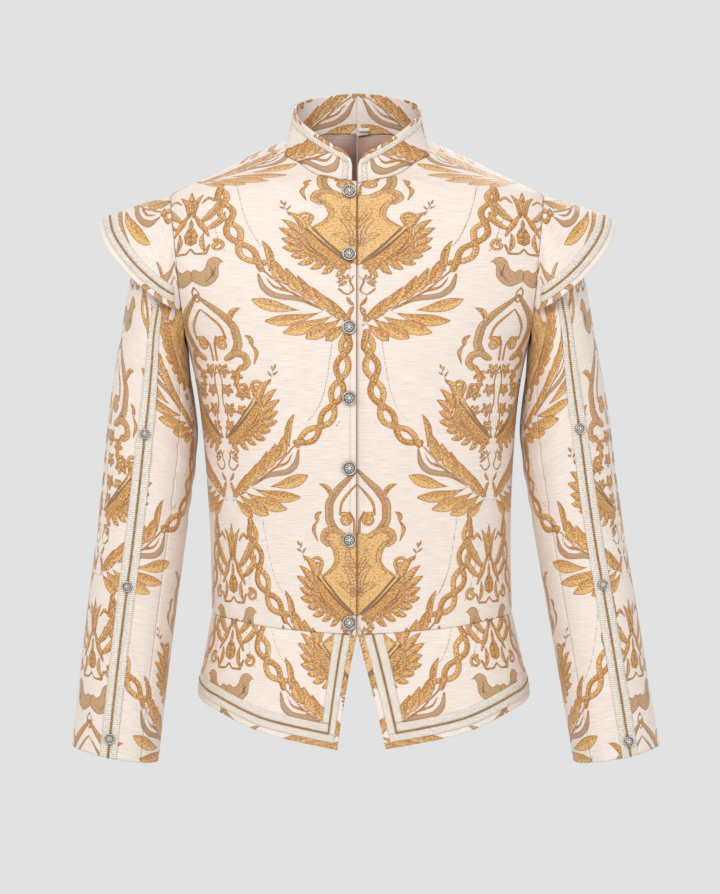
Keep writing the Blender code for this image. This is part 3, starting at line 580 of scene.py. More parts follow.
def body_panel(front):
    """Grid of the left front or back: first axis from the centre to the side, second upward."""
    centre = 0.0 if front else 180.0
    fine = np.linspace(0, 1, 200)
    angle = centre + (90 - centre) * fine
    waist = spaced(body_point(angle, read(WAIST_SEAM, 1, angle)), sum(FRONT_COLUMNS))
    neck = spaced(body_point(angle, read(NECKLINE, 1, angle)), FRONT_COLUMNS[0])
    neck_side = read(NECKLINE, 1, 90)
    shoulder = body_point(90, neck_side + (SHOULDER_HEIGHT - neck_side) * fine)
    shoulder = spaced(shoulder, FRONT_COLUMNS[1])
    waist_side = read(WAIST_SEAM, 1, 90)
    side = body_point(90, waist_side + (UNDERARM_HEIGHT - waist_side) * fine)
    armhole = armhole_line(front)[::-1]
    right = np.concatenate([spaced(side, SIDE_ROWS), armhole[1:]])
    low, high = read(WAIST_SEAM, 1, centre), read(NECKLINE, 1, centre)
    left = spaced(body_point(centre, low + (high - low) * fine), len(right) - 1)
    top = np.concatenate([neck, shoulder[1:]])
    grid = patch(waist, top, left, right)
    grid[1:-1, 1:-1] = onto_body(grid[1:-1, 1:-1])
    for _ in range(EVENING_ROUNDS):
        middle = (grid[:-2, 1:-1] + grid[2:, 1:-1] + grid[1:-1, :-2] + grid[1:-1, 2:]) / 4
        grid[1:-1, 1:-1] = onto_body((grid[1:-1, 1:-1] + middle) / 2)
    return grid


def armhole_line(front, steps=ARMHOLE_ROWS):
    """Armhole seam from the shoulder to the underarm, over the front or the back."""
    turn = np.radians(np.linspace(0, 180, steps + 1))
    middle = (SHOULDER_HEIGHT + UNDERARM_HEIGHT) / 2
    reach = (SHOULDER_HEIGHT - UNDERARM_HEIGHT) / 2
    height = middle + reach * np.cos(turn)
    x = read(ARMHOLE, 1, height)
    half, ahead, behind = ring(height)
    share = np.clip(x / half, 0, 1) ** SQUARENESS
    depth = np.maximum(1 - share, 0) ** (1 / SQUARENESS) * (ahead if front else behind)
    depth[[0, -1]] = 0
    y = -depth if front else depth
    return np.stack([x, y, height + tilt(height) * y], -1)


def lap_depth(points):
    """How far the wearer's left front lies under the right one, by distance from the edge."""
    return (CLOTH + LAP_EASE) * (1 - smooth_step((points[..., 0] - LAP_EDGE) / LAP_RAMP))


def lap_under(points, side, front=True):
    if side < 0 or not front:
        return points
    return points - unit(body_gradient(points)) * lap_depth(points)[..., None]


def collar_lines(side):
    """Base and top lines of half a collar, from its front edge to the centre back."""
    angle = np.linspace(0, 180, 721)
    base = body_point(angle, read(NECKLINE, 1, angle))
    front_steps = spaced(base[:361], FRONT_COLUMNS[0])
    back_steps = spaced(base[360:], FRONT_COLUMNS[0])
    base = lap_under(np.concatenate([front_steps, back_steps[1:]]), side)
    height, half, depth = (read(COLLAR_TOP, k, angle) for k in (1, 2, 3))
    top = on_oval(angle, height, half, depth, depth)
    return base, top


def rounded(across, down):
    """Moves a place near the front top corner so that lines parallel to the edge turn round it."""
    radius = COLLAR_CORNER_RADIUS
    if across >= radius or down >= radius:
        return across, down
    near = min(across, down)
    turn = math.radians(45) * (radius - max(across, down)) / max(radius - near, 1e-9)
    far, close = radius - (radius - near) * math.sin(turn), radius - (radius - near) * math.cos(turn)
    return (close, far) if across <= down else (far, close)


def collar_grid(side):
    """Half a collar: first axis from the front edge to the centre back, second from top to seam."""
    base, top = collar_lines(side)
    run, top_run = lengths(base), lengths(top)
    start = COLLAR_START[side]
    rows = list(COLLAR_TRIM_LINES)
    stops = [start + line for line in rows]
    stops += [value for value in run[1:] if value > stops[-1] + COLLAR_LEAST_CELL]

    def upright(place):
        low = along(base, place)
        return low, along(top, place / run[-1] * top_run[-1])

    grid = np.zeros((len(stops), len(rows) + len(COLLAR_LOWER_ROWS), 3))
    for i, stop in enumerate(stops):
        low, high = upright(stop)
        rest = np.linalg.norm(high - low) - rows[-1]
        downs = rows + [rows[-1] + rest * share for share in COLLAR_LOWER_ROWS]
        for j, down in enumerate(downs):
            across, deep = rounded(stop - start, down)
            low, high = upright(start + across)
            grid[i, j] = high + (low - high) * min(deep / np.linalg.norm(high - low), 1)
    normals = grid_normals(grid)
    normals *= np.sign((normals * grid * np.array([1, 1, 0])).sum(-1, keepdims=True))
    normals[-1, :, 0] = 0
    normals = unit(normals)
    normals[:, -1] = unit(normals[:, -1] + unit(body_gradient(grid[:, -1])))
    return grid, normals


def peplum_point(angle, drop):
    """Place on the flared skirt, this far below the waist seam."""
    top = body_point(angle, read(WAIST_SEAM, 1, angle))
    outward = unit(body_gradient(top) * np.array([1, 1, 0]))
    down = np.array([0, 0, -1.0])
    return top + np.asarray(drop)[..., None] * (down + PEPLUM_FLARE * outward)


def peplum_normal(angle, drop):
    step = 0.2
    first = peplum_point(angle + step, drop) - peplum_point(angle - step, drop)
    second = peplum_point(angle, drop + 1e-3) - peplum_point(angle, drop - 1e-3)
    return unit(np.cross(second, first))


def peplum_grid(front, side):
    """Angles and drops of one skirt piece: from its free edge to the side, and from hem to waist."""
    centre = 0.0 if front else 180.0
    slope = PEPLUM_OPENING[side] if front else VENT_OPENING
    start = PEPLUM_START[side] if front else VENT_START
    fine = np.linspace(centre, 90, 721)
    waist_fine = body_point(fine, read(WAIST_SEAM, 1, fine))
    run = lengths(waist_fine)
    stations = np.linspace(0, run[-1], sum(FRONT_COLUMNS) + 1)
    chords = along(waist_fine, stations)
    wide = math.hypot(1, slope)
    free = [start + line * wide for line in TRIM_LINES]
    beyond = [value for value in stations if value > free[-1] + PEPLUM_LEAST_CELL]
    station_angles = np.interp(beyond, run, fine)

    def angle_at(column, drop):
        if column < len(free):
            reach = free[column] + slope * drop
            depth = WAIST_DEPTH[front] + PEPLUM_FLARE * drop
            turn = math.degrees(math.atan2(reach, depth))
            return turn if front else 180 - turn
        last = angle_at(len(free) - 1, drop)
        first = angle_at(len(free) - 1, 0)
        share = (station_angles[column - len(free)] - first) / (90 - first)
        return last + (90 - last) * share

    columns = len(free) + len(beyond)
    rows = len(TRIM_LINES) + len(PEPLUM_UPPER_ROWS)
    angles, drops = np.zeros((columns, rows)), np.zeros((columns, rows))
    for i in range(columns):
        for j in range(rows):
            drop = 0.1
            for _ in range(6):
                angle = angle_at(i, drop)
                length = float(read(PEPLUM_DROP, 1, angle))
                if j < len(TRIM_LINES):
                    drop = length - TRIM_LINES[j]
                else:
                    share = PEPLUM_UPPER_ROWS[j - len(TRIM_LINES)]
                    drop = (length - TRIM_LINES[-1]) * (1 - share)
            angles[i, j], drops[i, j] = angle, drop
    grid = peplum_point(angles, drops)
    normals = peplum_normal(angles, drops)
    for i in range(columns):
        if i < len(free):
            grid[i, -1] = along(chords, free[i])
        else:
            grid[i, -1] = along(chords, beyond[i - len(free)])
    normals[:, -1] = unit(body_gradient(grid[:, -1]))
    if front and side > 0:
        grid -= normals * lap_depth(grid)[..., None]
    return grid, normals, angles, drops


def armhole_loop():
    """The whole armhole seam of the left side, from the shoulder round the front to the back."""
    front, back = armhole_line(True), armhole_line(False)
    return np.concatenate([front, back[-2:0:-1]])


def seam_directions(loop):
    """The body's normals along the armhole, and the direction across the seam away from it."""
    normals = unit(body_gradient(loop))
    tangent = unit(np.roll(loop, -1, axis=0) - np.roll(loop, 1, axis=0))
    across = unit(np.cross(normals, tangent))
    across *= np.sign((across * np.array([1.0, 0, 0])).sum(-1, keepdims=True))
    return normals, across


def sleeve_start():
    """For each armhole station: how far below the seam the sleeve starts, to leave room for the
    wing, how far it stands off the seam, and how far its edge faces as the body does."""
    steps = np.array([min(k, 2 * ARMHOLE_ROWS - k) for k in range(2 * ARMHOLE_ROWS)])
    under = WING_CLOTH + GAP
    low = under + EASE
    depth = np.interp(steps, HEAD_ROOM_STEPS, (under, low, low, low, -2 * GAP, -2 * GAP))
    apart = np.interp(steps, HEAD_OFF_STEPS, HEAD_OFF_GAPS) * ARMHOLE_GAP
    share = np.interp(steps, HEAD_FACING_STEPS, (1, 0))
    return depth[:, None], apart[:, None], share[:, None]


def sleeve_rings(side):
    """Grid of a whole sleeve: first axis round it from the top, second from the seam down."""
    loop = armhole_loop()
    normals, across = seam_directions(loop)
    depth, apart, share = sleeve_start()
    first = loop + across * apart - normals * depth
    count = len(loop)
    even = np.arange(count + 1) * ARMHOLE_STEP
    grid = np.zeros((count, len(SLEEVE_SECTIONS) + 1, 3))
    grid[:, 0] = first
    for row, (outer_z, inner_z, front, back, forward) in enumerate(SLEEVE_SECTIONS, start=1):
        outer = np.array([float(read(SLEEVE_OUTER_LINE, 1, outer_z)), -forward, outer_z])
        inner = np.array([float(read(SLEEVE_INNER_LINE, 1, inner_z)), -forward, inner_z])
        fine = np.radians(np.linspace(0, 360, 1441))
        depth = np.where(np.sin(fine) > 0, front, back)
        section = (outer + inner) / 2 + np.cos(fine)[:, None] * (outer - inner) / 2
        section[:, 1] -= np.sin(fine) * depth
        if row == len(SLEEVE_SECTIONS):
            section[:, 2] -= CUFF_FRONT_DROP * np.maximum(np.sin(fine), 0)
        run = lengths(section)
        at = np.interp(np.radians(even), fine, run)
        strip = np.interp(math.radians(STRIP_ANGLE[side]), fine, run)
        marks = [0, *STRIP_STATIONS, SLEEVE_FRONT_SEAM, ARMHOLE_ROWS, SLEEVE_BACK_SEAM, count]
        values = [0] + [strip + offset for offset in STRIP_OFFSETS]
        values += [at[SLEEVE_FRONT_SEAM], at[ARMHOLE_ROWS], at[SLEEVE_BACK_SEAM], run[-1]]
        wanted = np.interp(np.arange(count + 1), marks, values)
        settled = smooth_step(row / SLEEVE_SETTLES_AT)
        place = at + (wanted - at) * settled
        grid[:, row] = along(section, place[:-1])
    closed = np.concatenate([grid[-1:], grid, grid[:1]])
    around = unit(np.cross(np.gradient(closed, axis=0), np.gradient(closed, axis=1)))[1:-1]
    middle = grid.mean(axis=0, keepdims=True)
    around *= np.sign((around * (grid - middle)).sum(-1, keepdims=True))
    around[:, 0] = unit(normals * share + around[:, 0] * (1 - share))
    return grid, around


def wing_grid():
    """Grid of the left wing: first axis from the front end over the top, second from edge to root."""
    loop = armhole_loop()
    count = len(loop)
    normals, across = seam_directions(loop)
    seam = loop + across * ARMHOLE_GAP
    order = [k / 2 for k in range(2 * WING_ROOT_STEPS, -2 * WING_ROOT_STEPS - 1, -1)]
    halves = [(math.floor(k) % count, math.ceil(k) % count) for k in order]
    root = np.array([(seam[a] + seam[b]) / 2 for a, b in halves])
    root_normals = unit(np.array([normals[a] + normals[b] for a, b in halves]))
    places = np.linspace(0, 2, len(order))
    edge = np.stack([read(WING_EDGE, k, places) for k in (1, 2, 3)], -1)
    lines = list(TRIM_LINES)
    grid = np.zeros((len(order), len(lines) + len(WING_UPPER_ROWS), 3))
    for i in range(len(order)):
        if i in (0, len(order) - 1):
            down = 1 if i == 0 else -1
            path = np.array([seam[(int(order[i]) + down * k) % count] for k in range(4)])
            stops = [line * WING_END_STRETCH for line in lines]
            stops += [stops[-1] + (WING_END - stops[-1]) * share for share in WING_UPPER_ROWS]
            grid[i] = along(path, WING_END - np.array(stops))
            continue
        span = np.linalg.norm(root[i] - edge[i])
        bulge = WING_BULGE * span / WING_SPAN
        fine = np.linspace(0, 1, 60)[:, None]
        line = edge[i] + (root[i] - edge[i]) * fine
        line = line + root_normals[i] * bulge * np.sin(np.pi * fine)
        total = lengths(line)[-1]
        squeeze = min(1.0, WING_TRIM_SHARE * total / lines[-1])
        stops = [value * squeeze for value in lines]
        stops += [stops[-1] + (total - stops[-1]) * share for share in WING_UPPER_ROWS]
        grid[i] = along(line, stops)
    facing = grid_normals(grid)
    facing *= np.sign((facing * (grid - np.array(WING_MIDDLE))).sum(-1, keepdims=True))
    facing[:, -1] = root_normals
    facing[0] = unit(body_gradient(grid[0]))
    facing[-1] = unit(body_gradient(grid[-1]))
    return grid, facing


# Pattern: a half-drop ogee figure in columns, charted in millimetres on a small repeat


class Chart:
    """Fields of one column: gold and line are depths inside a figure, tone and taupe its shades."""

    def __init__(self):
        shape = CHART_SIZE[::-1]
        self.gold = np.full(shape, -9.0)
        self.line = np.full(shape, -9.0)
        self.tone = np.full(shape, 0.5)
        self.taupe = np.zeros(shape)

    def window(self, points, margin):
        low = (points.min(axis=0) - margin - (CHART_LEFT, CHART_TOP)) / CHART_STEP
        high = (points.max(axis=0) + margin - (CHART_LEFT, CHART_TOP)) / CHART_STEP
        a, b = np.maximum(low.astype(int), 0)
        c, d = np.minimum(high.astype(int) + 2, CHART_SIZE)
        x = CHART_LEFT + CHART_STEP * np.arange(a, c)
        y = CHART_TOP + CHART_STEP * np.arange(b, d)
        return (slice(b, d), slice(a, c)), *np.meshgrid(x, y)

    def put(self, where, depth, tone, taupe):
        won = depth > self.gold[where]
        self.gold[where] = np.where(won, depth, self.gold[where])
        self.tone[where] = np.where(won, tone, self.tone[where])
        self.taupe[where] = np.where(won, taupe, self.taupe[where])

    def strokes(self, points, half_width, tone=0.5, taupe=0.0, dark=False, edged=False, gap=0.0):
        """A line of this half-width, drawn on both sides of the axis, with a dark edge or a bare
        gap round it."""
        for sign in (1, -1):
            line = np.array(points, float) * (sign, 1)
            line = smoothed(line)
            wide = np.interp(
                np.linspace(0, 1, len(line)), np.linspace(0, 1, np.size(half_width)),
                np.atleast_1d(half_width),
            )
            where, x, y = self.window(line, 10 + wide.max())
            depth = np.full(x.shape, -9.0)
            side = np.zeros(x.shape)
            for k in range(len(line) - 1):
                a, step = line[k], line[k + 1] - line[k]
                size = max(float(step @ step), 1e-9)
                t = np.clip(((x - a[0]) * step[0] + (y - a[1]) * step[1]) / size, 0, 1)
                off = np.hypot(x - a[0] - t * step[0], y - a[1] - t * step[1])
                here = wide[k] + (wide[k + 1] - wide[k]) * t - off
                turn = np.sign((x - a[0]) * step[1] - (y - a[1]) * step[0])
                side = np.where(here > depth, turn * sign, side)
                depth = np.maximum(depth, here)
            if dark:
                self.line[where] = np.maximum(self.line[where], depth)
                continue
            if edged:
                under = self.gold[where] > 0.3
                self.line[where] = np.where(depth > 0.2, -9.0, self.line[where])
                edge = np.where(under, 0.35 - np.abs(depth), -9.0)
                self.line[where] = np.maximum(self.line[where], edge)
                self.gold[where] = np.where(depth > 0, np.minimum(self.gold[where], depth),
                                            self.gold[where])
            if gap:
                bare = np.where(depth > 0, 9.0, -gap - depth)
                self.gold[where] = np.minimum(self.gold[where], bare)
            self.put(where, depth, tone + 0.12 * side, taupe)

    def leaf(self, base, tip, width, bend=0.0, tone=0.5, taupe=0.0, vein=True, blunt=0.8):
        """Leaf from base to tip with a gap round it, bent sideways by a share of its length; a
        blunt one is widest near its tip."""
        base, tip = np.array(base, float), np.array(tip, float)
        across = np.array([tip[1] - base[1], base[0] - tip[0]])
        t = np.linspace(0, 1, 11)[:, None]
        path = base + (tip - base) * t + across * bend * 4 * t * (1 - t)
        shape = np.sin(np.pi * np.clip(np.linspace(0, 1, 11), 0.05, 0.97) ** blunt) ** 0.8
        self.strokes(path, shape * width / 2, tone, taupe, gap=LEAF_GAP)
        if vein:
            self.strokes(path[1:8], 0.28, dark=True)

    def tuft(self, base, reach, towards, spread, count, width, tone=0.5):
        """Fan of small leaves from one point; angles in degrees, 90 is down."""
        for turn in np.radians(towards + spread * np.linspace(-0.5, 0.5, count)):
            tip = (base[0] + reach * math.cos(turn), base[1] + reach * math.sin(turn))
            self.leaf(base, tip, width, 0.04, tone, vein=False)

    def curl(self, centre, radius, start, turns, width, tone=0.5, taupe=0.0):
        """Spiral from the outside in, ending in a round blob; start in degrees."""
        t = np.linspace(0, 1, 26)
        turn = np.radians(start + 360 * turns * t)
        reach = radius * (1 - 0.72 * t)
        path = np.stack([centre[0] + reach * np.cos(turn), centre[1] + reach * np.sin(turn)], 1)
        self.strokes(path, (width / 2, width / 2, width * 0.42, width * 0.8), tone, taupe)

    def fill(self, outline, tone=0.5, taupe=0.0):
        """Area inside a closed outline; the outline crosses the axis or is drawn on both sides."""
        for sign in (1, -1):
            ring_points = np.array(outline, float) * (sign, 1)
            where, x, y = self.window(ring_points, 6)
            inside = np.zeros(x.shape, bool)
            near = np.full(x.shape, 99.0)
            for a, b in zip(ring_points, np.roll(ring_points, -1, axis=0)):
                step = b - a
                t = np.clip(((x - a[0]) * step[0] + (y - a[1]) * step[1]) / (step @ step), 0, 1)
                near = np.minimum(near, np.hypot(x - a[0] - t * step[0], y - a[1] - t * step[1]))
                crosses = (a[1] > y) != (b[1] > y)
                level = np.where(step[1] == 0, 1, step[1])
                inside ^= crosses & (x < a[0] + (y - a[1]) * step[0] / level)
            self.put(where, np.where(inside, near, -near), tone, taupe)


def smoothed(points, between=5):
    """The same line with extra points, so that it bends smoothly."""
    if len(points) < 3:
        return points
    run = np.concatenate([[0], np.cumsum(np.hypot(*np.diff(points, axis=0).T))])
    at = np.interp(np.linspace(0, 1, between * (len(points) - 1) + 1),
                   np.linspace(0, 1, len(points)), run)
    return np.stack([curve(run, points[:, 0], at), curve(run, points[:, 1], at)], 1)


def draw_rope(chart, wide):
    """Two strands that wind round each other, with a thin dotted line on each side."""
    path = smoothed(np.array(ROPES[wide], float), 12)
    run = np.concatenate([[0], np.cumsum(np.hypot(*np.diff(path, axis=0).T))])
    even = np.arange(0, run[-1], 2.0)
    path = np.stack([np.interp(even, run, path[:, 0]), np.interp(even, run, path[:, 1])], 1)
    ahead = np.gradient(path, axis=0)
    across = np.stack([ahead[:, 1], -ahead[:, 0]], 1) / np.hypot(*ahead.T)[:, None]
    swell = np.clip(even / 20, 0.15, 1)
    for sign in (1, -1):
        sway = (sign * 6.3 * np.sin(np.pi * even / ROPE_TURN + 0.4) * swell)[:, None]
        strand = path + across * sway
        chart.strokes(strand[::2], 3.2, 0.48 + 0.1 * sign, edged=True)
        chart.strokes(strand[::2] + across[::2] * 0.6, 0.12, dark=True)
    for sign, last in ((1, 0.86), (-1, 0.74)):
        count = int(len(path) * last)
        side = path[:count] + across[:count] * sign * SIDE_LINES[wide]
        for first in range(0, count - 2, 2):
            if side[first, 0] > SIDE_LINE_LEAST:
                chart.strokes(side[first:first + 2], 0.62, 0.45)


def draw_spray(chart):
    """Leafy branch from the rope's end down to the next column's joining point."""
    chart.strokes([(68, 134), (88, 156), (108, 172), (128, 184), (145, 196)], (1.0, 0.8, 0.8), 0.4)
    chart.strokes([(63, 138), (66, 152), (76, 162), (96, 166), (118, 178)], (1.2, 3.6, 3.0, 1.0), 0.45,
                  0.9, edged=True)
    chart.strokes([(70, 142), (76, 152), (90, 158), (108, 172)], (0.6, 1.5, 0.6), 0.5, edged=True)
    for number, (base_x, base_y, tip_x, tip_y, width, bend, tone) in enumerate(SPRAY):
        blunt = 0.95 if number < SPRAY_CHAIN else 1.7
        chart.leaf((base_x, base_y), (tip_x, tip_y), width, bend, tone, blunt=blunt)


def draw_clump(chart):
    chart.fill([(42, 280), (51, 276), (58, 281), (59, 293), (56, 304), (49, 312), (38, 320), (25, 327),
                (11, 332), (4, 327), (16, 314), (30, 300)], 0.44, 0.05)
    for base_x, base_y, tip_x, tip_y, width, bend in CLUMP:
        chart.leaf((base_x, base_y), (tip_x, tip_y), width, bend, 0.52, vein=False)
        middle = (base_x + tip_x) / 2, (base_y + tip_y) / 2
        chart.strokes([(base_x - 5, base_y + 1), middle], (0.1, 0.45), dark=True)
    for shift in (2, 9):
        chart.strokes([(46 + shift * 0.3, 288 + shift), (40, 302 + shift * 0.7),
                       (26 - shift * 0.3, 316 + shift * 0.5)], (0.2, 0.6, 0.2), dark=True)


def draw_cartouche(chart, floral):
    """Shield with curled shoulders, a pointed ring above it and leaf clumps round its foot."""
    ring_line = [(0, 160), (10, 171), (23, 185), (31, 201), (31, 214), (25, 226), (18, 232)]
    chart.strokes(ring_line, (1.6, 3.8, 4.8, 4.8, 3.2), 0.5, 0.55)
    chart.strokes(ring_line, 0.3, dark=True)
    chart.strokes([(0, 176), (9, 186), (17, 198), (19, 210)], (0.8, 1.8, 1.2), 0.55, 0.15)
    chart.curl((13, 216), 7.5, 300, -1.2, 4.0, 0.58)
    chart.strokes([(2.5, 234), (3.0, 218), (8, 207)], (1.6, 1.2, 1.0), 0.5)
    chart.leaf((29, 190), (42, 176), 6, 0.2, 0.5)
    draw_clump(chart)
    if floral:
        for x, y, size in ((9, 246, 9), (24, 252, 8), (11, 268, 8), (28, 272, 8), (12, 290, 9),
                           (27, 291, 7), (10, 309, 8)):
            chart.tuft((x, y), size, 90, 288, 5, 5.6, 0.5)
            chart.strokes([(x - 0.4, y), (x + 0.4, y)], 1.7, 0.75)
        chart.strokes([(0, 240), (5, 258), (3, 280), (8, 300), (2, 322)], 0.9, 0.4)
        chart.strokes([(20, 262), (33, 262), (37, 276)], (1.4, 2.0, 1.4), 0.5)
    else:
        chart.fill(SHIELD, 0.78)
        for level in range(236, 318, 4):
            reach = 20 if level < 276 else max(34 - (level - 276) * 0.8, 3)
            chart.strokes([(2, level), (reach / 2, level + 1), (reach, level)], 0.16, dark=True)
        chart.leaf((4, 296), (14, 268), 6.0, 0.15, 0.35, 0.5)
        chart.leaf((4, 300), (19, 288), 5.0, 0.15, 0.40, 0.4)
        chart.leaf((3, 268), (10, 250), 5.0, -0.15, 0.40, 0.4)
        chart.strokes([(2.5, 246), (3.5, 276), (3, 308)], 0.7, 0.3)
    chart.strokes([(14, 233), (25, 227), (35, 229), (38, 237), (33, 243)], (2.6, 3.8, 4.2, 3.4), 0.5,
                  0.3, edged=True)
    chart.strokes([(30, 242), (25, 250), (23, 260), (28, 270), (37, 277)], (2.4, 3.0, 2.4, 1.6), 0.44,
                  edged=True)
    chart.curl((47, 264), 7.8, 130, 1.0, 4.0, 0.56)
    chart.strokes([(40, 268), (44, 276), (51, 273)], (1.0, 2.0, 1.0), 0.5)
    chart.strokes([(42, 279), (32, 293), (19, 308), (6, 321)], 2.6, 0.92, edged=True)
    for off in (-2.3, 2.3):
        chart.strokes([(43 + off, 280), (32 + off, 293), (19 + off * 0.8, 308), (5 + off * 0.4, 322)],
                      (0.5, 0.9, 0.5), dark=True)
    chart.strokes([(60, 262), (63, 252), (66, 244)], (0.6, 0.5), 0.42)
    for base, tip in (((63, 254), (58, 246)), ((64, 252), (70, 247)), ((65, 248), (63, 240)),
                      ((66, 245), (68, 238))):
        chart.leaf(base, tip, 2.3, 0.0, 0.45, vein=False)
    chart.strokes([(45, 240), (49, 226), (42, 214)], (0.6, 2.4, 0.6), 0.5)
    chart.leaf((46, 216), (39, 207), 5.0, -0.2, 0.45, vein=False)
    chart.tuft((9, 344), 9.5, 330, 130, 5, 4.0)
    chart.strokes([(2, 336), (6, 343), (3, 352), (9, 358), (16, 352)], (0.6, 1.0, 0.9, 1.2), 0.5)
    chart.leaf((3, 372), (7, 386), 5.0, 0.1, 0.5)
    chart.leaf((3, 370), (9, 360), 4.0, -0.1, 0.5)


def draw_crown(chart):
    """Crown, cone, swag and a pair of facing birds, between the ropes of every other column."""
    chart.leaf((0, 66), (0, 24), 8, 0, 0.5)
    chart.leaf((3, 66), (12, 30), 7.5, 0.12, 0.52)
    chart.leaf((8, 74), (26, 40), 8.5, -0.10, 0.5, 0.2)
    chart.leaf((14, 84), (32, 58), 7.5, -0.12, 0.48)
    chart.strokes([(2, 60), (10, 78), (17, 92)], (1.0, 3.6, 1.2), 0.45, edged=True)
    chart.strokes([(10, 44), (17, 36), (22, 42)], (0.8, 2.2, 0.8), 0.5)
    chart.fill([(0, 76), (3, 82), (7, 91), (6, 100), (0, 104)], 0.42)
    for level in (84, 91, 98):
        chart.strokes([(0, level), (3, level + 3), (6, level)], 0.35, dark=True)
    chart.leaf((0, 84), (0, 68), 4.5, 0, 0.5)
    chart.strokes([(0, 107), (6, 113), (14, 113), (18, 103)], (1.0, 1.2, 1.6, 1.2), 0.5)
    chart.leaf((14, 110), (12, 88), 5.5, 0.1, 0.5)
    chart.curl((25, 104), 7.5, 250, 1.0, 3.4, 0.56)
    chart.fill(smoothed(np.array([
        (0, 133.0), (4, 131), (9, 134), (14, 130), (17, 121), (23, 117), (28, 119), (30, 123),
        (27, 128), (27, 137), (21, 147), (12, 151), (5, 148), (0, 144)])), 0.60, 0.75)
    chart.strokes([(26, 120), (33, 124)], (1.4, 0.4), 0.5)
    chart.strokes([(19, 126), (21, 136), (13, 147)], (0.3, 0.6, 0.3), dark=True)
    chart.strokes([(24, 128), (22, 140)], (0.3, 0.5), dark=True)
    chart.strokes([(0, 151), (3.5, 158), (3, 165), (0, 168)], 0.9, 0.45)


def make_chart(wide):
    chart = Chart()
    draw_rope(chart, wide)
    draw_spray(chart)
    draw_cartouche(chart, wide)
    if wide:
        draw_crown(chart)
    return chart


def pattern_fields(charts, across, down):
    """Depths and shades of the pattern at places given in millimetres."""
    result = [np.full(across.shape, -9.0), np.full(across.shape, -9.0),
              np.full(across.shape, 0.5), np.zeros(across.shape)]
    middle = np.round(across / COLUMN)
    for shift in (-1, 0, 1):
        number = middle + shift
        odd = np.mod(number, 2) == 1
        x = across - number * COLUMN
        base = np.mod(down + np.where(odd, REPEAT / 2, 0), REPEAT)
        for level in (base, base - REPEAT, base + REPEAT):
            column = np.clip((x - CHART_LEFT) / CHART_STEP, 0, CHART_SIZE[0] - 1.001)
            line = (level - CHART_TOP) / CHART_STEP
            held = (line > 0) & (line < CHART_SIZE[1] - 1.001)
            line = np.clip(line, 0, CHART_SIZE[1] - 1.001)
            i, j = line.astype(int), column.astype(int)
            s, t = line - i, column - j
            for kind, chart in enumerate(charts):
                use = held & (odd == bool(kind))
                values = []
                for field in (chart.gold, chart.line, chart.tone, chart.taupe):
                    values.append(
                        (field[i, j] * (1 - t) + field[i, j + 1] * t) * (1 - s)
                        + (field[i + 1, j] * (1 - t) + field[i + 1, j + 1] * t) * s
                    )
                won = use & (values[0] > result[0])
                result[0] = np.where(won, values[0], result[0])
                result[2] = np.where(won, values[2], result[2])
                result[3] = np.where(won, values[3], result[3])
                result[1] = np.where(use, np.maximum(result[1], values[1]), result[1])
    return result


# Fine cloth: the coarse grids of the solids, drawn smoothly between their points

def refined(grid, spacing):
    """Finer grid through the same points, and where those points are in it."""
    places = []
    for axis in (0, 1):
        steps = np.linalg.norm(np.diff(grid[..., :3], axis=axis), axis=2).mean(axis=1 - axis)
        counts = np.maximum(np.round(steps / spacing), 2).astype(int)
        run = np.concatenate([[0], np.cumsum(steps)])
        at = np.concatenate([
            run[k] + steps[k] * np.arange(n) / n for k, n in enumerate(counts)
        ] + [run[-1:]])
        grid = np.moveaxis(blended(run, np.moveaxis(grid, axis, 0), at), 0, axis)
        places.append(np.concatenate([[0], np.cumsum(counts)]))
    return grid, places


def blended(run, values, at):
    """Smooth curves through rows of values, in all columns at once."""
    step = np.diff(run)
    shape = (-1,) + (1,) * (values.ndim - 1)
    slope = np.diff(values, axis=0) / step.reshape(shape)
    tangent = np.empty_like(values)
    before, after = step[:-1].reshape(shape), step[1:].reshape(shape)
    tangent[1:-1] = (slope[:-1] * after + slope[1:] * before) / (before + after)
    tangent[0], tangent[-1] = slope[0], slope[-1]
    if len(run) > 2:
        tangent[0] = 1.5 * slope[0] - 0.5 * tangent[1]
        tangent[-1] = 1.5 * slope[-1] - 0.5 * tangent[-2]
    k = np.clip(np.searchsorted(run, at, side="right") - 1, 0, len(run) - 2)
    t = ((at - run[k]) / step[k]).reshape(shape)
    size = step[k].reshape(shape)
    return (
        (1 + 2 * t) * (1 - t) ** 2 * values[k]
        + t * (1 - t) ** 2 * size * tangent[k]
        + t * t * (3 - 2 * t) * values[k + 1]
        - t * t * (1 - t) * size * tangent[k + 1]
    )


def new_mesh(name, points, faces, materials, indices=None):
    """Mesh object from arrays: points (n, 3), faces as a list of index arrays (m, 3) or (m, 4)."""
    mesh = bpy.data.meshes.new(name)
    mesh.vertices.add(len(points))
    mesh.vertices.foreach_set("co", np.ascontiguousarray(points, np.float32).ravel())
    loops = np.concatenate([part.ravel() for part in faces]).astype(np.int32)
    sizes = np.concatenate([np.full(len(part), part.shape[1]) for part in faces])
    starts = np.concatenate([[0], np.cumsum(sizes)[:-1]]).astype(np.int32)
    mesh.loops.add(len(loops))
    mesh.loops.foreach_set("vertex_index", loops)
    mesh.polygons.add(len(sizes))
    mesh.polygons.foreach_set("loop_start", starts)
    if indices is not None:
        mesh.polygons.foreach_set("material_index", np.asarray(indices, np.int32))
    mesh.polygons.foreach_set("use_smooth", np.ones(len(sizes), bool))
    mesh.update(calc_edges=True)
    made = bpy.data.objects.new(name, mesh)
    bpy.context.scene.collection.objects.link(made)
    for material in materials:
        mesh.materials.append(material)
    return made


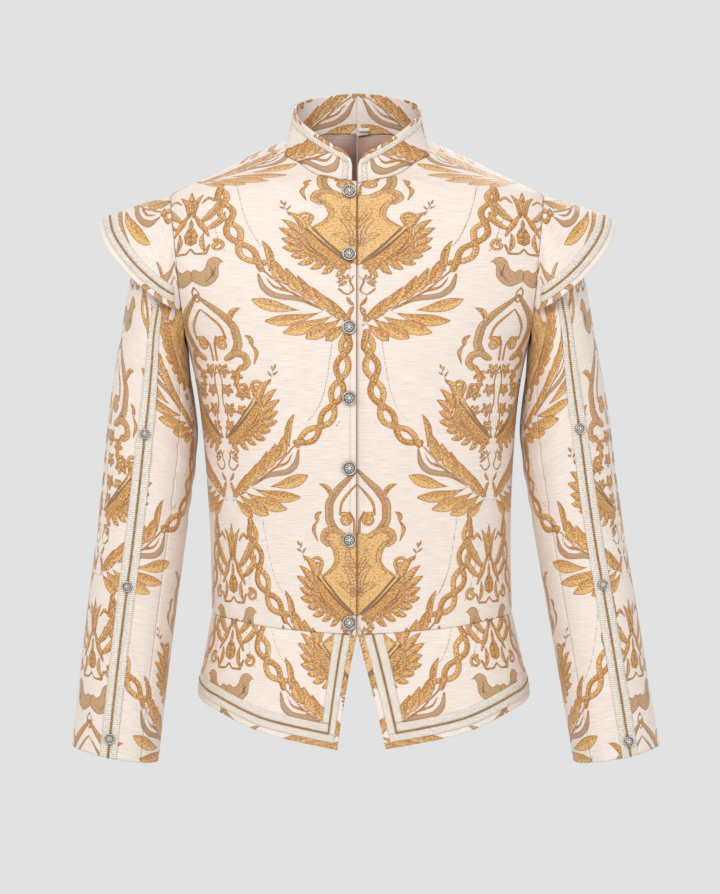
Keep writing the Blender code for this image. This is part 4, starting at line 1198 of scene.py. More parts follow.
def add_values(mesh_object, name, values):
    """Numbers kept with the mesh's points, for its material."""
    values = np.asarray(values, np.float32)
    kind = "FLOAT" if values.ndim == 1 else "FLOAT_VECTOR"
    made = mesh_object.data.attributes.new(name, kind, "POINT")
    made.data.foreach_set("value" if values.ndim == 1 else "vector", values.ravel())


def cloth_shell(name, grid, places, normals, thickness, materials):
    """Closed thin cloth: fine outside, the named points inside, joined by a rim at the border."""
    columns, rows = grid.shape[:2]
    outer = grid.reshape(-1, 3)
    coarse = np.ix_(places[0], places[1])
    inner = (grid[coarse] - normals[coarse] * thickness).reshape(-1, 3)
    order = np.arange(columns * rows).reshape(columns, rows)
    within = columns * rows + np.arange(len(inner)).reshape(len(places[0]), len(places[1]))

    def cells(table):
        return np.stack([table[:-1, :-1], table[1:, :-1], table[1:, 1:], table[:-1, 1:]], -1)

    fronts = cells(order).reshape(-1, 4)
    backs = cells(within).reshape(-1, 4)[:, ::-1]
    rim = []
    borders = (
        (order[:, 0], within[:, 0], places[0], False), (order[:, -1], within[:, -1], places[0], True),
        (order[0], within[0], places[1], True), (order[-1], within[-1], places[1], False),
    )
    for line, back, stops, flip in borders:
        for k in range(len(stops) - 1):
            first, last = stops[k], stops[k + 1]
            middle = (first + last) // 2
            made = [(line[f + 1], line[f], back[k]) for f in range(first, middle)]
            made.append((line[middle], back[k], back[k + 1]))
            made += [(line[f + 1], line[f], back[k + 1]) for f in range(middle, last)]
            rim += [face[::-1] for face in made] if flip else made
    rim = np.array(rim)
    faces = [fronts, backs, rim]
    indices = np.concatenate([np.zeros(len(fronts)), np.ones(len(backs)), np.zeros(len(rim))])
    points = np.concatenate([outer, inner])
    a, b, c = outer[fronts[0, 0]], outer[fronts[0, 1]], outer[fronts[0, 2]]
    if np.cross(b - a, c - a) @ normals[0, 0] < 0:
        faces = [part[:, ::-1] for part in faces]
    made = new_mesh(name, leaned(points), faces, materials, indices)
    return made, len(inner)


def edge_roll(shape, spacing, sides):
    """How far the cloth turns in towards its seams, at each point of a grid."""
    i, j = np.meshgrid(np.arange(shape[0]), np.arange(shape[1]), indexing="ij")
    away = {"start": i, "end": shape[0] - 1 - i, "low": j, "high": shape[1] - 1 - j}
    drop = np.zeros(shape[:2])
    for side in sides:
        drop = np.maximum(drop, ROLL_DEPTH * np.exp(-away[side] * spacing / ROLL_REACH))
    return drop


def with_pattern(made, extra, across, down, edge=None):
    """Writes the pattern's fields and the cloth's own measures on the outside points, and on the
    inside ones where they are as many."""
    if extra == across.size:
        across, down, extra = np.stack([across, across]), np.stack([down, down]), 0
    gold, line, tone, taupe = pattern_fields(CHARTS, across.ravel(), down.ravel())
    blank = np.full(extra, BARE)
    edge = np.full(across.size, FAR) if edge is None else edge.ravel() * 1000
    figure = np.stack([
        np.concatenate([gold, blank]), np.concatenate([line, blank]),
        np.concatenate([tone, np.full(extra, 0.5)]),
    ], 1)
    cloth = np.stack([
        np.concatenate([across.ravel(), np.zeros(extra)]),
        np.concatenate([down.ravel(), np.zeros(extra)]),
        np.concatenate([edge, np.full(extra, FAR)]),
    ], 1)
    add_values(made, "figure", figure)
    add_values(made, "cloth", cloth)
    add_values(made, "taupe", np.concatenate([taupe, np.zeros(extra)]))


def body_places():
    """Tables of the pattern's places on the body: round it, and down it from the chest level."""
    heights = np.linspace(BODY_RINGS[0][0], BODY_RINGS[-1][0], 160)
    angles = np.linspace(0, 180, 181)
    points = body_point(angles[None], heights[:, None])
    round_steps = np.linalg.norm(np.diff(points, axis=1), axis=2)
    arcs = np.concatenate([np.zeros((len(heights), 1)), np.cumsum(round_steps, axis=1)], axis=1)
    arcs = 3 * COLUMN * arcs / arcs[:, -1:]
    down_steps = np.linalg.norm(np.diff(points, axis=0), axis=2)
    downs = np.concatenate([np.zeros((1, len(angles))), np.cumsum(down_steps, axis=0)], axis=0)
    start = np.array([np.interp(-PATTERN_LEVEL, -heights, downs[:, k]) for k in range(len(angles))])
    return arcs, (downs - start) * 1000


def looked_up(table, line, across):
    """Values between the points of a table; line and across run from 0 to 1."""
    line = np.clip(line, 0, 1) * (table.shape[0] - 1.001)
    across = np.clip(across, 0, 1) * (table.shape[1] - 1.001)
    i, j = line.astype(int), across.astype(int)
    s, t = line - i, across - j
    return ((table[i, j] * (1 - t) + table[i, j + 1] * t) * (1 - s)
            + (table[i + 1, j] * (1 - t) + table[i + 1, j + 1] * t) * s)


def chest_pattern(angle, height):
    top, low = BODY_RINGS[0][0], BODY_RINGS[-1][0]
    line = (top - height) / (top - low)
    return [looked_up(table, line, angle / 180) for table in BODY_TABLES]


def body_pattern(angle, height):
    """The pattern's place at an angle and ring height of the body. Above the underarm the cloth
    keeps its straight grain, so there the place is worked out from the width and the rise."""
    across, down = chest_pattern(angle, height)
    points = body_point(angle, height)
    half, ahead, behind = ring(YOKE_LEVEL)
    share = np.clip(points[..., 0] / half, 0, 1)
    front = angle <= 90
    depth = np.where(front, ahead, behind) * (1 - share**SQUARENESS) ** (1 / SQUARENESS)
    start = np.degrees(np.arctan2(share * half, np.where(front, depth, -depth)))
    yoke_across, yoke_down = chest_pattern(start, 0 * start + YOKE_LEVEL)
    rise = points[..., 2] - YOKE_LEVEL + YOKE_SLOPE * (depth - np.abs(points[..., 1]))
    above = height > YOKE_LEVEL
    return np.where(above, yoke_across, across), np.where(above, yoke_down - rise * 1000, down)


def ring_height(points):
    height = points[..., 2]
    for _ in range(14):
        height = (height + points[..., 2] - tilt(height) * points[..., 1]) / 2
    return height


def dress_body(sheets):
    panels = {}
    for place, front in (("front", True), ("back", False)):
        coarse = body_panel(front)
        fine, places = refined(coarse, BODY_SPACINGS[place])
        fine[1:-1, 1:-1] = onto_body(fine[1:-1, 1:-1])
        panels[place] = fine, places
    for place in panels:
        fine, places = panels[place]
        for word, side in SIDES.items():
            grid, stops = fine, places
            edge = None
            if place == "front":
                edge = fine[..., 0]
                if side > 0:
                    reach = np.minimum(LAP_UNDER / fine[places[0][1], :, 0], 1)[None, :, None]
                    share = np.linspace(1, 0, UNDERLAP_STEPS + 1)[:-1, None, None] * reach
                    under = mirrored(fine[:1] + (fine[places[0][1]][None] - fine[:1]) * share, -1)
                    under = onto_body(under)
                    grid = np.concatenate([under, fine])
                    stops = [np.concatenate([[0], places[0] + UNDERLAP_STEPS]), places[1]]
                    edge = None
            angle = np.degrees(np.arctan2(np.abs(grid[..., 0]), -grid[..., 1]))
            across, down = body_pattern(angle, ring_height(grid))
            if place == "front" and side > 0:
                across = np.where(grid[..., 0] < 0, -across, across)
            grid = lap_under(grid, side, place == "front")
            normals = unit(body_gradient(grid))
            seams = ["low", "high", "end"] + ([] if place == "front" else ["start"])
            grid = pull_in(grid, seams, HALF_GAP)
            grid = grid - normals * edge_roll(grid.shape, BODY_SPACINGS[place], seams)[..., None]
            made, extra = cloth_shell(
                f"{place}_{word}_cloth", mirrored(grid, side), stops, mirrored(normals, side), CLOTH,
                [MATERIALS["brocade"], MATERIALS["lining"]],
            )
            with_pattern(made, extra, across * side, down, edge)
            finish_piece(made, "brocade", f"{place}_{word}")
            sheets[f"{place}_{word}"] = made


def finish_piece(made, slot_name, *nodes):
    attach(made, "root")
    if nodes:
        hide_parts(*nodes)


def strip_mesh(name, grid, normals, keep, thickness, material, slot_name, node):
    """Braid on these cells of a fine grid, raised and slightly crowned across."""
    order = np.arange(grid.shape[0] * grid.shape[1]).reshape(grid.shape[:2])
    quads = np.stack([order[:-1, :-1], order[1:, :-1], order[1:, 1:], order[:-1, 1:]], -1)[keep]
    used = np.unique(quads)
    edges = np.concatenate([quads[:, [k, (k + 1) % 4]] for k in range(4)])
    both = np.sort(edges, axis=1)
    _, index, counts = np.unique(both, axis=0, return_index=True, return_counts=True)
    border = edges[index[counts == 1]]
    rim_points = np.unique(border)
    points, facing = grid.reshape(-1, 3), normals.reshape(-1, 3)
    lift = np.full(len(points), thickness)
    lift[rim_points] = thickness * (1 - BRAID_CROWN)
    place = np.full(len(points), -1)
    place[used] = np.arange(len(used))
    top = points[used] + facing[used] * (GAP + lift[used])[:, None]
    low = points[used] + facing[used] * HALF_GAP
    count = len(used)
    quads, border = place[quads], place[border]
    sides = np.stack([border[:, 1], border[:, 0], border[:, 0] + count, border[:, 1] + count], 1)
    faces = [quads, quads[:, ::-1] + count, sides]
    a, b, c = top[quads[0, 0]], top[quads[0, 1]], top[quads[0, 2]]
    if np.cross(b - a, c - a) @ facing[used[quads[0, 0] if quads[0, 0] < count else 0]] < 0:
        faces = [part[:, ::-1] for part in faces]
    made = new_mesh(name, leaned(np.concatenate([top, low])), faces, [material])
    finish_piece(made, slot_name, node)
    return made, used, count


def bead_chain(name, path, normals, material, node):
    """Cord as a chain of small tilted links along a line."""
    run = lengths(path)
    marks = np.arange(LINK_STEP * 0.5, run[-1], LINK_STEP)
    spots = along(path, marks)
    facing = unit(np.stack([np.interp(marks, run, normals[:, k]) for k in range(3)], -1))
    ahead = unit(np.gradient(spots, axis=0))
    side = unit(np.cross(facing, ahead))
    turn = np.linspace(0, 2 * np.pi, 9)[:-1]
    rise = np.linspace(-np.pi / 2, np.pi / 2, 6)
    ball = np.array([(math.cos(r) * math.cos(t), math.cos(r) * math.sin(t), math.sin(r))
                     for r in rise for t in turn])
    faces = np.array([(r * 8 + t, r * 8 + (t + 1) % 8, (r + 1) * 8 + (t + 1) % 8, (r + 1) * 8 + t)
                      for r in range(5) for t in range(8)])
    lean = np.where(np.arange(len(marks)) % 2 == 0, LINK_LEAN, -LINK_LEAN)
    long_axis = unit(ahead * np.cos(lean)[:, None] + side * np.sin(lean)[:, None])
    short_axis = unit(np.cross(facing, long_axis))
    centres = spots + facing * (GAP + LINK_LIFT)
    points = (
        centres[:, None]
        + ball[None, :, :1] * long_axis[:, None] * LINK_SIZE
        + ball[None, :, 1:2] * short_axis[:, None] * LINK_SIZE * 0.55
        + ball[None, :, 2:] * facing[:, None] * LINK_SIZE * 0.5
    )
    every = (faces[None] + (np.arange(len(marks)) * len(ball))[:, None, None]).reshape(-1, 4)
    made = new_mesh(name, leaned(points.reshape(-1, 3)), [every], [material])
    finish_piece(made, "gold_cord", node)
    return made


def dress_lining(sheets):
    coarse = body_panel(False)
    normals = unit(body_gradient(coarse))
    rows = slice(-LINING_ROWS - 1, None)
    part = pull_in(coarse, ["start"], HALF_GAP)[: LINING_COLUMNS + 1, rows]
    facing = normals[: LINING_COLUMNS + 1, rows]
    part = pull_in(part - facing * (CLOTH + LINING_EASE), ["high"], LINING_TOP)
    fine, places = refined(np.concatenate([part, facing], -1), LINING_SPACING)
    grid, facing = fine[..., :3], unit(fine[..., 3:])
    for word, side in SIDES.items():
        made, _ = cloth_shell(
            f"back_lining_{word}_cloth", mirrored(grid, side), places, mirrored(facing, side),
            LINING_CLOTH, [MATERIALS["lining"], MATERIALS["lining"]],
        )
        finish_piece(made, "mauve_lining", f"back_lining_{word}")
        sheets[f"back_lining_{word}"] = made


def band(shape, places, line, free):
    """Fine cells between two coarse rows, and between the same coarse columns where free."""
    low, high = places[1][line], places[1][line + 1]
    keep = np.zeros((shape[0] - 1, shape[1] - 1), bool)
    if free:
        first, last = places[0][line], places[0][line + 1]
        keep[first:, low:high] = True
        keep[first:last, low:] = True
    else:
        keep[:, low:high] = True
    return keep


def dress_collar(sheets):
    for word, side in SIDES.items():
        coarse, facing = collar_grid(side)
        coarse = pull_in(coarse, ["high", "end"], HALF_GAP)
        fine, places = refined(np.concatenate([coarse, facing], -1), COLLAR_SPACING)
        grid, normals = fine[..., :3], unit(fine[..., 3:6])
        run, rise = measures(grid)
        across = run * 1000 * COLLAR_ACROSS + COLLAR_PATTERN[0]
        down = rise * 1000 + COLLAR_PATTERN[1]
        shown = grid - normals * edge_roll(grid.shape, COLLAR_SPACING, ["high", "end"])[..., None]
        every = [np.arange(count) for count in grid.shape[:2]]
        made, extra = cloth_shell(
            f"collar_{word}_cloth", mirrored(shown, side), every, mirrored(normals, side),
            COLLAR_CLOTH, [MATERIALS["brocade"], MATERIALS["brocade"]],
        )
        with_pattern(made, extra, across * side, down)
        finish_piece(made, "brocade", f"collar_{word}")
        keep = band(grid.shape, places, 1, True)
        name = f"collar_braid_{word}"
        tape, used, count = strip_mesh(
            f"{name}_tape", mirrored(grid, side), mirrored(normals, side), keep, BRAID,
            MATERIALS["braid"], "white_braid", name,
        )
        braid_values(tape, used, run, rise, places, 1, True)
        sheets[f"collar_{word}"] = made


def braid_values(tape, used, run, rise, places, line, free):
    """Distances along and across a braid, for its weave."""
    high = run.shape[1]
    i, j = used // high, used % high
    middle = (places[1][line] + places[1][line + 1]) // 2
    along_mm, across_mm = run[i, j] * 1000, (rise[i, j] - rise[i, middle]) * 1000
    if free:
        first, last = places[0][line], places[0][line + 1]
        upright = (i <= last) & (j > places[1][line + 1])
        centre = (first + last) // 2
        along_mm = np.where(upright, -rise[i, j] * 1000, along_mm)
        across_mm = np.where(upright, (run[i, j] - run[centre, j]) * 1000, across_mm)
    values = np.stack([along_mm, across_mm, np.zeros(len(used))], 1)
    add_values(tape, "cloth", np.concatenate([values, values]))


def measures(grid):
    run = np.concatenate([np.zeros((1, grid.shape[1])),
                          np.cumsum(np.linalg.norm(np.diff(grid, axis=0), axis=2), axis=0)])
    rise = np.concatenate([np.zeros((grid.shape[0], 1)),
                           np.cumsum(np.linalg.norm(np.diff(grid, axis=1), axis=2), axis=1)], 1)
    return run, rise


def dress_trims(base, suffix, grid, normals, places, side, lines, free):
    """Two braids with a chain cord between them, along the named coarse rows."""
    run, rise = measures(grid)
    for trim, line in zip(("braid_outer", "cord", "braid_inner"), lines):
        node = f"{base}_{trim}{suffix}"
        if trim != "cord":
            keep = band(grid.shape, places, line, free)
            tape, used, _ = strip_mesh(
                f"{node}_tape", mirrored(grid, side), mirrored(normals, side), keep, BRAID,
                MATERIALS["braid"], "white_braid", node,
            )
            braid_values(tape, used, run, rise, places, line, free)
            continue
        row = (places[1][line] + places[1][line + 1]) // 2
        path, facing = grid[:, row], normals[:, row]
        if free:
            column = (places[0][line] + places[0][line + 1]) // 2
            path = np.concatenate([grid[column, :row:-1], grid[column:, row]])
            facing = np.concatenate([normals[column, :row:-1], normals[column:, row]])
        bead_chain(f"{node}_links", mirrored(path, side), mirrored(facing, side),
                   MATERIALS["cord"], node)


def dress_peplum(sheets):
    for word, side in SIDES.items():
        for place, front in (("front", True), ("back", False)):
            coarse, facing, angles, drops = peplum_grid(front, side)
            across, down = body_pattern(angles, read(WAIST_SEAM, 1, angles))
            down = down + drops * 1000 * math.hypot(1, PEPLUM_FLARE) - PEPLUM_PATTERN_STEP
            coarse = pull_in(coarse, ["high", "end"], HALF_GAP)
            stack = np.concatenate([coarse, facing, across[..., None], down[..., None]], -1)
            fine, places = refined(stack, PEPLUM_SPACING)
            grid, normals = fine[..., :3], unit(fine[..., 3:6])
            roll = edge_roll(grid.shape, PEPLUM_SPACING, ["high", "end"])
            made, extra = cloth_shell(
                f"peplum_{place}_{word}_cloth", mirrored(grid - normals * roll[..., None], side),
                places, mirrored(normals, side), CLOTH, [MATERIALS["brocade"], MATERIALS["lining"]],
            )
            with_pattern(made, extra, fine[..., 6] * side, fine[..., 7])
            name = f"peplum_{place}_{word}"
            finish_piece(made, "brocade", name)
            dress_trims(name, "", grid, normals, places, side, (1, 2, 3), True)
            sheets[name] = made


def dress_sleeves(sheets):
    count = 2 * ARMHOLE_ROWS
    for word, side in SIDES.items():
        coarse, facing = sleeve_rings(side)
        around = np.linalg.norm(np.diff(np.concatenate([coarse, coarse[:1]]), axis=0), axis=2)
        arcs = np.concatenate([np.zeros((1, coarse.shape[1])), np.cumsum(around, axis=0)])
        heights = coarse[..., 2].mean(axis=0)
        axis_share = np.interp(-heights, *SLEEVE_AXIS)
        whole = arcs[-1]
        place = (arcs - axis_share * whole) * 1000 + COLUMN
        falls = np.concatenate([[0], np.cumsum(-np.diff(heights))]) * 1000
        down = falls - (heights[0] - SLEEVE_PATTERN_LEVEL) * 1000
        pieces = {
            "upper": list(range(SLEEVE_BACK_SEAM - count, SLEEVE_FRONT_SEAM + 1)),
            "under": list(range(SLEEVE_FRONT_SEAM, SLEEVE_BACK_SEAM + 1)),
        }
        for piece, order in pieces.items():
            wrapped = [k % count for k in order]
            part = pull_in(coarse[wrapped], ["start", "end"], GAP)
            across = np.array([place[k % count] - (whole * 1000 if k < 0 else 0) for k in order])
            levels = np.broadcast_to(down, across.shape)
            stack = np.concatenate(
                [part, facing[wrapped], across[..., None], levels[..., None]], -1
            )
            fine, places = refined(stack, SLEEVE_SPACING)
            grid, normals = fine[..., :3], unit(fine[..., 3:6])
            crease = sleeve_creases(grid) + edge_roll(grid.shape, SLEEVE_SPACING, ["start", "end"])
            made, extra = cloth_shell(
                f"sleeve_{piece}_{word}_cloth", mirrored(grid - normals * crease[..., None], side),
                places, mirrored(normals, side), CLOTH, [MATERIALS["brocade"], MATERIALS["lining"]],
            )
            with_pattern(made, extra, fine[..., 6] * side, fine[..., 7])
            finish_piece(made, "brocade", f"sleeve_{piece}_{word}")
            sheets[f"sleeve_{piece}_{word}"] = made
        order = list(STRIP_STATIONS)
        rows = slice(SLEEVE_SETTLES_AT, None)
        stack = np.concatenate([coarse[order][:, rows], facing[order][:, rows]], -1)
        fine, places = refined(stack, TRIM_SPACING)
        grid, normals = fine[..., :3], unit(fine[..., 3:6])
        turned = np.swapaxes(grid, 0, 1), np.swapaxes(normals, 0, 1)
        dress_trims("sleeve", f"_{word}", *turned, [places[1], places[0]], side, (0, 1, 2), False)
        STRIPS[word] = coarse[order], facing[order]


def sleeve_creases(grid):
    """Soft troughs at the inside of the elbow and under the wing."""
    drop = np.zeros(grid.shape[:2])
    for x, z, reach_x, reach_z, slant, depth in SLEEVE_CREASES:
        level = grid[..., 2] - z - slant * (grid[..., 0] - x)
        near = np.exp(-((level / reach_z) ** 2) - ((grid[..., 0] - x) / reach_x) ** 2)
        drop += depth * near * smooth_step(0.5 - grid[..., 1] / 0.03)
    return drop


def dress_wings(sheets):
    coarse, facing = wing_grid()
    coarse = pull_in(coarse, ["start", "end"], GAP)
    run, rise = measures(coarse)
    stack = np.concatenate([coarse, facing, run[..., -1:][:, :, None].repeat(coarse.shape[1], 1),
                            rise[..., None]], -1)
    fine, places = refined(stack, TRIM_SPACING)
    grid, normals = fine[..., :3], unit(fine[..., 3:6])
    middle = fine[..., 6].max() / 2
    across = (fine[..., 6] - middle) * 1000 + WING_PATTERN[0]
    down = WING_PATTERN[1] - fine[..., 7] * 1000
    for word, side in SIDES.items():
        made, extra = cloth_shell(
            f"wing_{word}_cloth", mirrored(grid, side), places, mirrored(normals, side), WING_CLOTH,
            [MATERIALS["brocade"], MATERIALS["lining"]],
        )
        with_pattern(made, extra, across, down)
        finish_piece(made, "brocade", f"wing_{word}")
        sheets[f"wing_{word}"] = made
        first, last = places[0][1], places[0][-2]
        inner = [places[0][1:-1] - first, places[1]]
        dress_trims("wing", f"_{word}", grid[first:last + 1], normals[first:last + 1], inner, side,
                    (1, 2, 3), False)


def button_piece(name, place, facing, radius, height, node):
    """Domed button with a beaded rim and a small flower raised on the dome."""
    steps = 72
    profile = np.array([
        (0.0, 0.97), (0.10, 0.99), (0.20, 0.98), (0.30, 0.94), (0.42, 0.88), (0.52, 0.80),
        (0.60, 0.70), (0.66, 0.58), (0.70, 0.50), (0.75, 0.50), (0.80, 0.60), (0.87, 0.66),
        (0.94, 0.62), (1.0, 0.46), (1.0, 0.30), (0.96, 0.16), (0.80, 0.04), (0.5, 0.0), (0.0, 0.0),
    ])
    turn = np.linspace(0, 2 * np.pi, steps, endpoint=False)
    across, up = np.meshgrid(profile[:, 0], turn, indexing="ij")
    rise = np.repeat(profile[:, 1:], steps, axis=1)
    petals = 0.10 * np.cos(up * 8) * np.exp(-(((across - 0.36) / 0.16) ** 2))
    centre = 0.08 * np.exp(-((across / 0.11) ** 2))
    beads = 0.05 * np.cos(up * 24) * np.exp(-(((across - 0.88) / 0.05) ** 2))
    shown = np.arange(len(profile))[:, None] < 13
    rise = rise + np.where(shown, petals + centre + beads, 0)
    turned = Vector(facing).to_track_quat("Z", "Y").to_matrix()
    local = np.stack([across * np.cos(up) * radius, across * np.sin(up) * radius, rise * height], -1)
    points = local.reshape(-1, 3) @ np.array(turned).T + place
    rows = np.arange(len(profile) - 1)[:, None] * steps
    a = rows + np.arange(steps)[None]
    b = rows + np.roll(np.arange(steps), -1)[None]
    faces = np.stack([a, a + steps, b + steps, b], -1).reshape(-1, 4)
    made = new_mesh(name, points, [faces], [MATERIALS["silver"]])
    hollow = np.clip(1.15 - np.abs(across - 0.72) / 0.06, 0, 1) * (across < 0.9)
    worn = np.where(shown, np.clip(0.5 + (petals + centre + beads) * 6, 0, 1) * (1 - hollow), 0.2)
    add_values(made, "worn", worn.ravel())
    finish_piece(made, "silver_buttons", node)


def dress_buttons():
    for number, height in enumerate(BUTTON_HEIGHTS, start=1):
        spot = body_point(math.degrees(math.atan2(BUTTON_LINE, 0.1)), height)
        spot = onto_body(np.array([BUTTON_LINE, spot[1], height]))
        facing = unit(body_gradient(spot))
        place = leaned(spot + facing * GAP * 0.3)
        button_piece(f"front_button_{number}_dome", place, facing, BUTTON_RADIUS, BUTTON_HEIGHT,
                     f"front_button_{number}")
    for word, side in SIDES.items():
        grid, normals = STRIPS[word]
        middle, facings = mirrored(grid[1:3].mean(axis=0), side), mirrored(normals[1:3].mean(axis=0), side)
        order = np.argsort(middle[:, 2])
        for number, height in enumerate(SLEEVE_BUTTON_HEIGHTS[side], start=1):
            spot = np.array([curve(middle[order, 2], middle[order, k], height) for k in range(3)])
            facing = unit(np.array(
                [curve(middle[order, 2], facings[order, k], height) for k in range(3)]
            ))
            place = leaned(spot + facing * (2 * GAP + CORD * 0.7))
            button_piece(f"sleeve_button_{word}_{number}_dome", place, facing, SLEEVE_BUTTON_RADIUS,
                         SLEEVE_BUTTON_HEIGHT, f"sleeve_button_{word}_{number}")


def dress_neck_loop():
    angle = np.linspace(*NECK_LOOP_ANGLES, 25)
    rows = []
    for share in np.linspace(*NECK_LOOP_SHARES, 5):
        low = body_point(angle, read(NECKLINE, 1, angle))
        height, half, depth = (read(COLLAR_TOP, k, angle) for k in (1, 2, 3))
        high = on_oval(angle, height, half, depth, depth)
        rows.append(low + (high - low) * share)
    grid = np.stack(rows, 1)
    outward = unit(grid * np.array([1, 1, 0]))
    grid = grid - outward * (COLLAR_CLOTH + NECK_LOOP_EASE)
    places = [np.arange(0, 25, 4), np.array([0, 4])]
    made, extra = cloth_shell("neck_loop_tape", grid, places, outward, NECK_LOOP_CLOTH,
                              [MATERIALS["braid"], MATERIALS["braid"]])
    run, rise = measures(grid)
    values = np.stack([run.ravel() * 1000, rise.ravel() * 1000, run.ravel() * 0], 1)
    add_values(made, "cloth", np.concatenate([values, np.zeros((extra, 3))]))
    finish_piece(made, "white_braid", "neck_loop")


# Materials

class Nodes:
    """Short calls for building one node material."""

    def __init__(self, name):
        self.material = bpy.data.materials.new(name)
        self.material.use_nodes = True
        self.tree = self.material.node_tree
        self.shader = self.tree.nodes["Principled BSDF"]

    def node(self, kind, **settings):
        made = self.tree.nodes.new(kind)
        for key, value in settings.items():
            setattr(made, key, value)
        return made

    def link(self, source, target):
        if isinstance(source, (int, float)):
            target.default_value = source
        elif isinstance(source, tuple):
            target.default_value = (*source, 1) if len(target.default_value) == 4 else source
        else:
            self.tree.links.new(source, target)

    def math(self, operation, *values, clamp=False):
        made = self.node("ShaderNodeMath", operation=operation, use_clamp=clamp)
        for k, value in enumerate(values):
            self.link(value, made.inputs[k])
        return made.outputs[0]

    def step(self, value, low, high, start=0.0, end=1.0):
        made = self.node("ShaderNodeMapRange", interpolation_type="SMOOTHSTEP")
        for k, part in enumerate((value, low, high, start, end)):
            self.link(part, made.inputs[k])
        return made.outputs[0]

    def mix(self, share, first, second, blend="MIX"):
        made = self.node("ShaderNodeMix", data_type="RGBA", blend_type=blend)
        self.link(share, made.inputs[0])
        self.link(first, made.inputs[6])
        self.link(second, made.inputs[7])
        return made.outputs[2]

    def attribute(self, name):
        return self.node("ShaderNodeAttribute", attribute_name=name)

    def parts(self, vector):
        made = self.node("ShaderNodeSeparateXYZ")
        self.link(vector, made.inputs[0])
        return made.outputs

    def place(self, x, y, z=0.0):
        made = self.node("ShaderNodeCombineXYZ")
        for k, value in enumerate((x, y, z)):
            self.link(value, made.inputs[k])
        return made.outputs[0]

    def noise(self, vector, scale, detail=2.0):
        made = self.node("ShaderNodeTexNoise")
        self.link(vector, made.inputs["Vector"])
        made.inputs["Scale"].default_value = scale
        made.inputs["Detail"].default_value = detail
        return made.outputs[0]

    def bump(self, height, distance, strength=1.0, after=None):
        made = self.node("ShaderNodeBump")
        made.inputs["Strength"].default_value = strength
        made.inputs["Distance"].default_value = distance
        self.link(height, made.inputs["Height"])
        if after is not None:
            self.link(after, made.inputs["Normal"])
        return made.outputs[0]


def brocade_material(name):
    n = Nodes(name)
    cloth = n.attribute("cloth").outputs["Vector"]
    x, y, edge = n.parts(cloth)
    ribs = n.noise(n.place(n.math("MULTIPLY", x, 0.05), n.math("MULTIPLY", y, 1.1)), 1.0, 3.0)
    threads = n.math("SINE", n.math("MULTIPLY", y, 5.2))
    slub = n.noise(n.place(n.math("MULTIPLY", x, 0.10), n.math("MULTIPLY", y, 0.55)), 1.0, 1.0)
    ground = n.mix(n.step(ribs, 0.35, 0.68), IVORY_LIGHT, IVORY_DEEP)
    ground = n.mix(n.step(slub, 0.60, 0.72, 0.0, 0.5), ground, IVORY_DEEP)
    figure = n.attribute("figure").outputs["Vector"]
    gold, line, tone = n.parts(figure)
    taupe = n.attribute("taupe").outputs["Fac"]
    fray = n.noise(n.place(n.math("MULTIPLY", x, 0.9), n.math("MULTIPLY", y, 1.6)), 1.0, 2.0)
    gold = n.math("ADD", gold, n.math("MULTIPLY", n.math("SUBTRACT", fray, 0.5), 1.5))
    mask = n.step(gold, -0.15, 0.22)
    hatch = n.noise(n.place(n.math("MULTIPLY", x, 0.35), n.math("MULTIPLY", y, 1.5)), 1.0, 3.0)
    fleck = n.noise(n.place(x, y), 0.55, 3.0)
    shade = n.math("ADD", tone, n.math("MULTIPLY", n.math("SUBTRACT", hatch, 0.5), 2.6))
    shade = n.math("ADD", shade, n.math("MULTIPLY", n.math("SUBTRACT", fleck, 0.5), 1.9))
    colours = n.mix(n.step(shade, 0.15, 0.55), GOLD_DEEP, GOLD_MID)
    colours = n.mix(n.step(shade, 0.50, 0.90), colours, GOLD_LIGHT)
    colours = n.mix(n.math("MULTIPLY", taupe, 0.85, clamp=True), colours, TAUPE)
    rim = n.step(gold, 1.25, 0.35, 0.0, 0.80)
    colours = n.mix(rim, colours, GOLD_DEEP)
    colours = n.mix(n.step(line, -0.50, 0.10, 0.0, 0.88), colours, BROWN)
    colour = n.mix(mask, ground, colours)
    dash = n.step(n.math("SINE", n.math("MULTIPLY", y, 2.3)), -0.3, 0.1)
    stitch = n.step(n.math("ABSOLUTE", n.math("SUBTRACT", edge, 7.6)), 0.75, 0.25, 0.0, 0.62)
    colour = n.mix(n.math("MULTIPLY", stitch, dash), colour, GOLD_DEEP)
    # Brown edging with painted shadow of the overlap: a dark brown line along the lapping front edge
    lap = n.step(edge, 1.5, 0.7, 0.0, 0.85)
    colour = n.mix(lap, colour, LAP_BROWN_AND_SHADOW)
    raised = n.math("MULTIPLY", n.step(gold, -0.5, 0.9), 0.9)
    groove = n.math("MULTIPLY", n.step(line, -0.5, 0.3), -0.5)
    height = n.math("ADD", n.math("MULTIPLY", ribs, 0.30), n.math("MULTIPLY", threads, 0.03))
    height = n.math("ADD", height, n.math("ADD", raised, groove))
    height = n.math("ADD", height, n.math("MULTIPLY", n.math("MULTIPLY", hatch, mask), 0.5))
    height = n.math("SUBTRACT", height, n.math("MULTIPLY", stitch, 0.8))
    n.link(n.step(mask, 0.0, 1.0, 0.62, 0.42), n.shader.inputs["Roughness"])
    n.link(colour, n.shader.inputs["Base Color"])
    n.link(n.bump(height, 0.00045, 0.75), n.shader.inputs["Normal"])
    n.shader.inputs["Sheen Weight"].default_value = 0.12
    n.shader.inputs["Sheen Roughness"].default_value = 0.45
    n.shader.inputs["Specular IOR Level"].default_value = 0.35
    return n.material


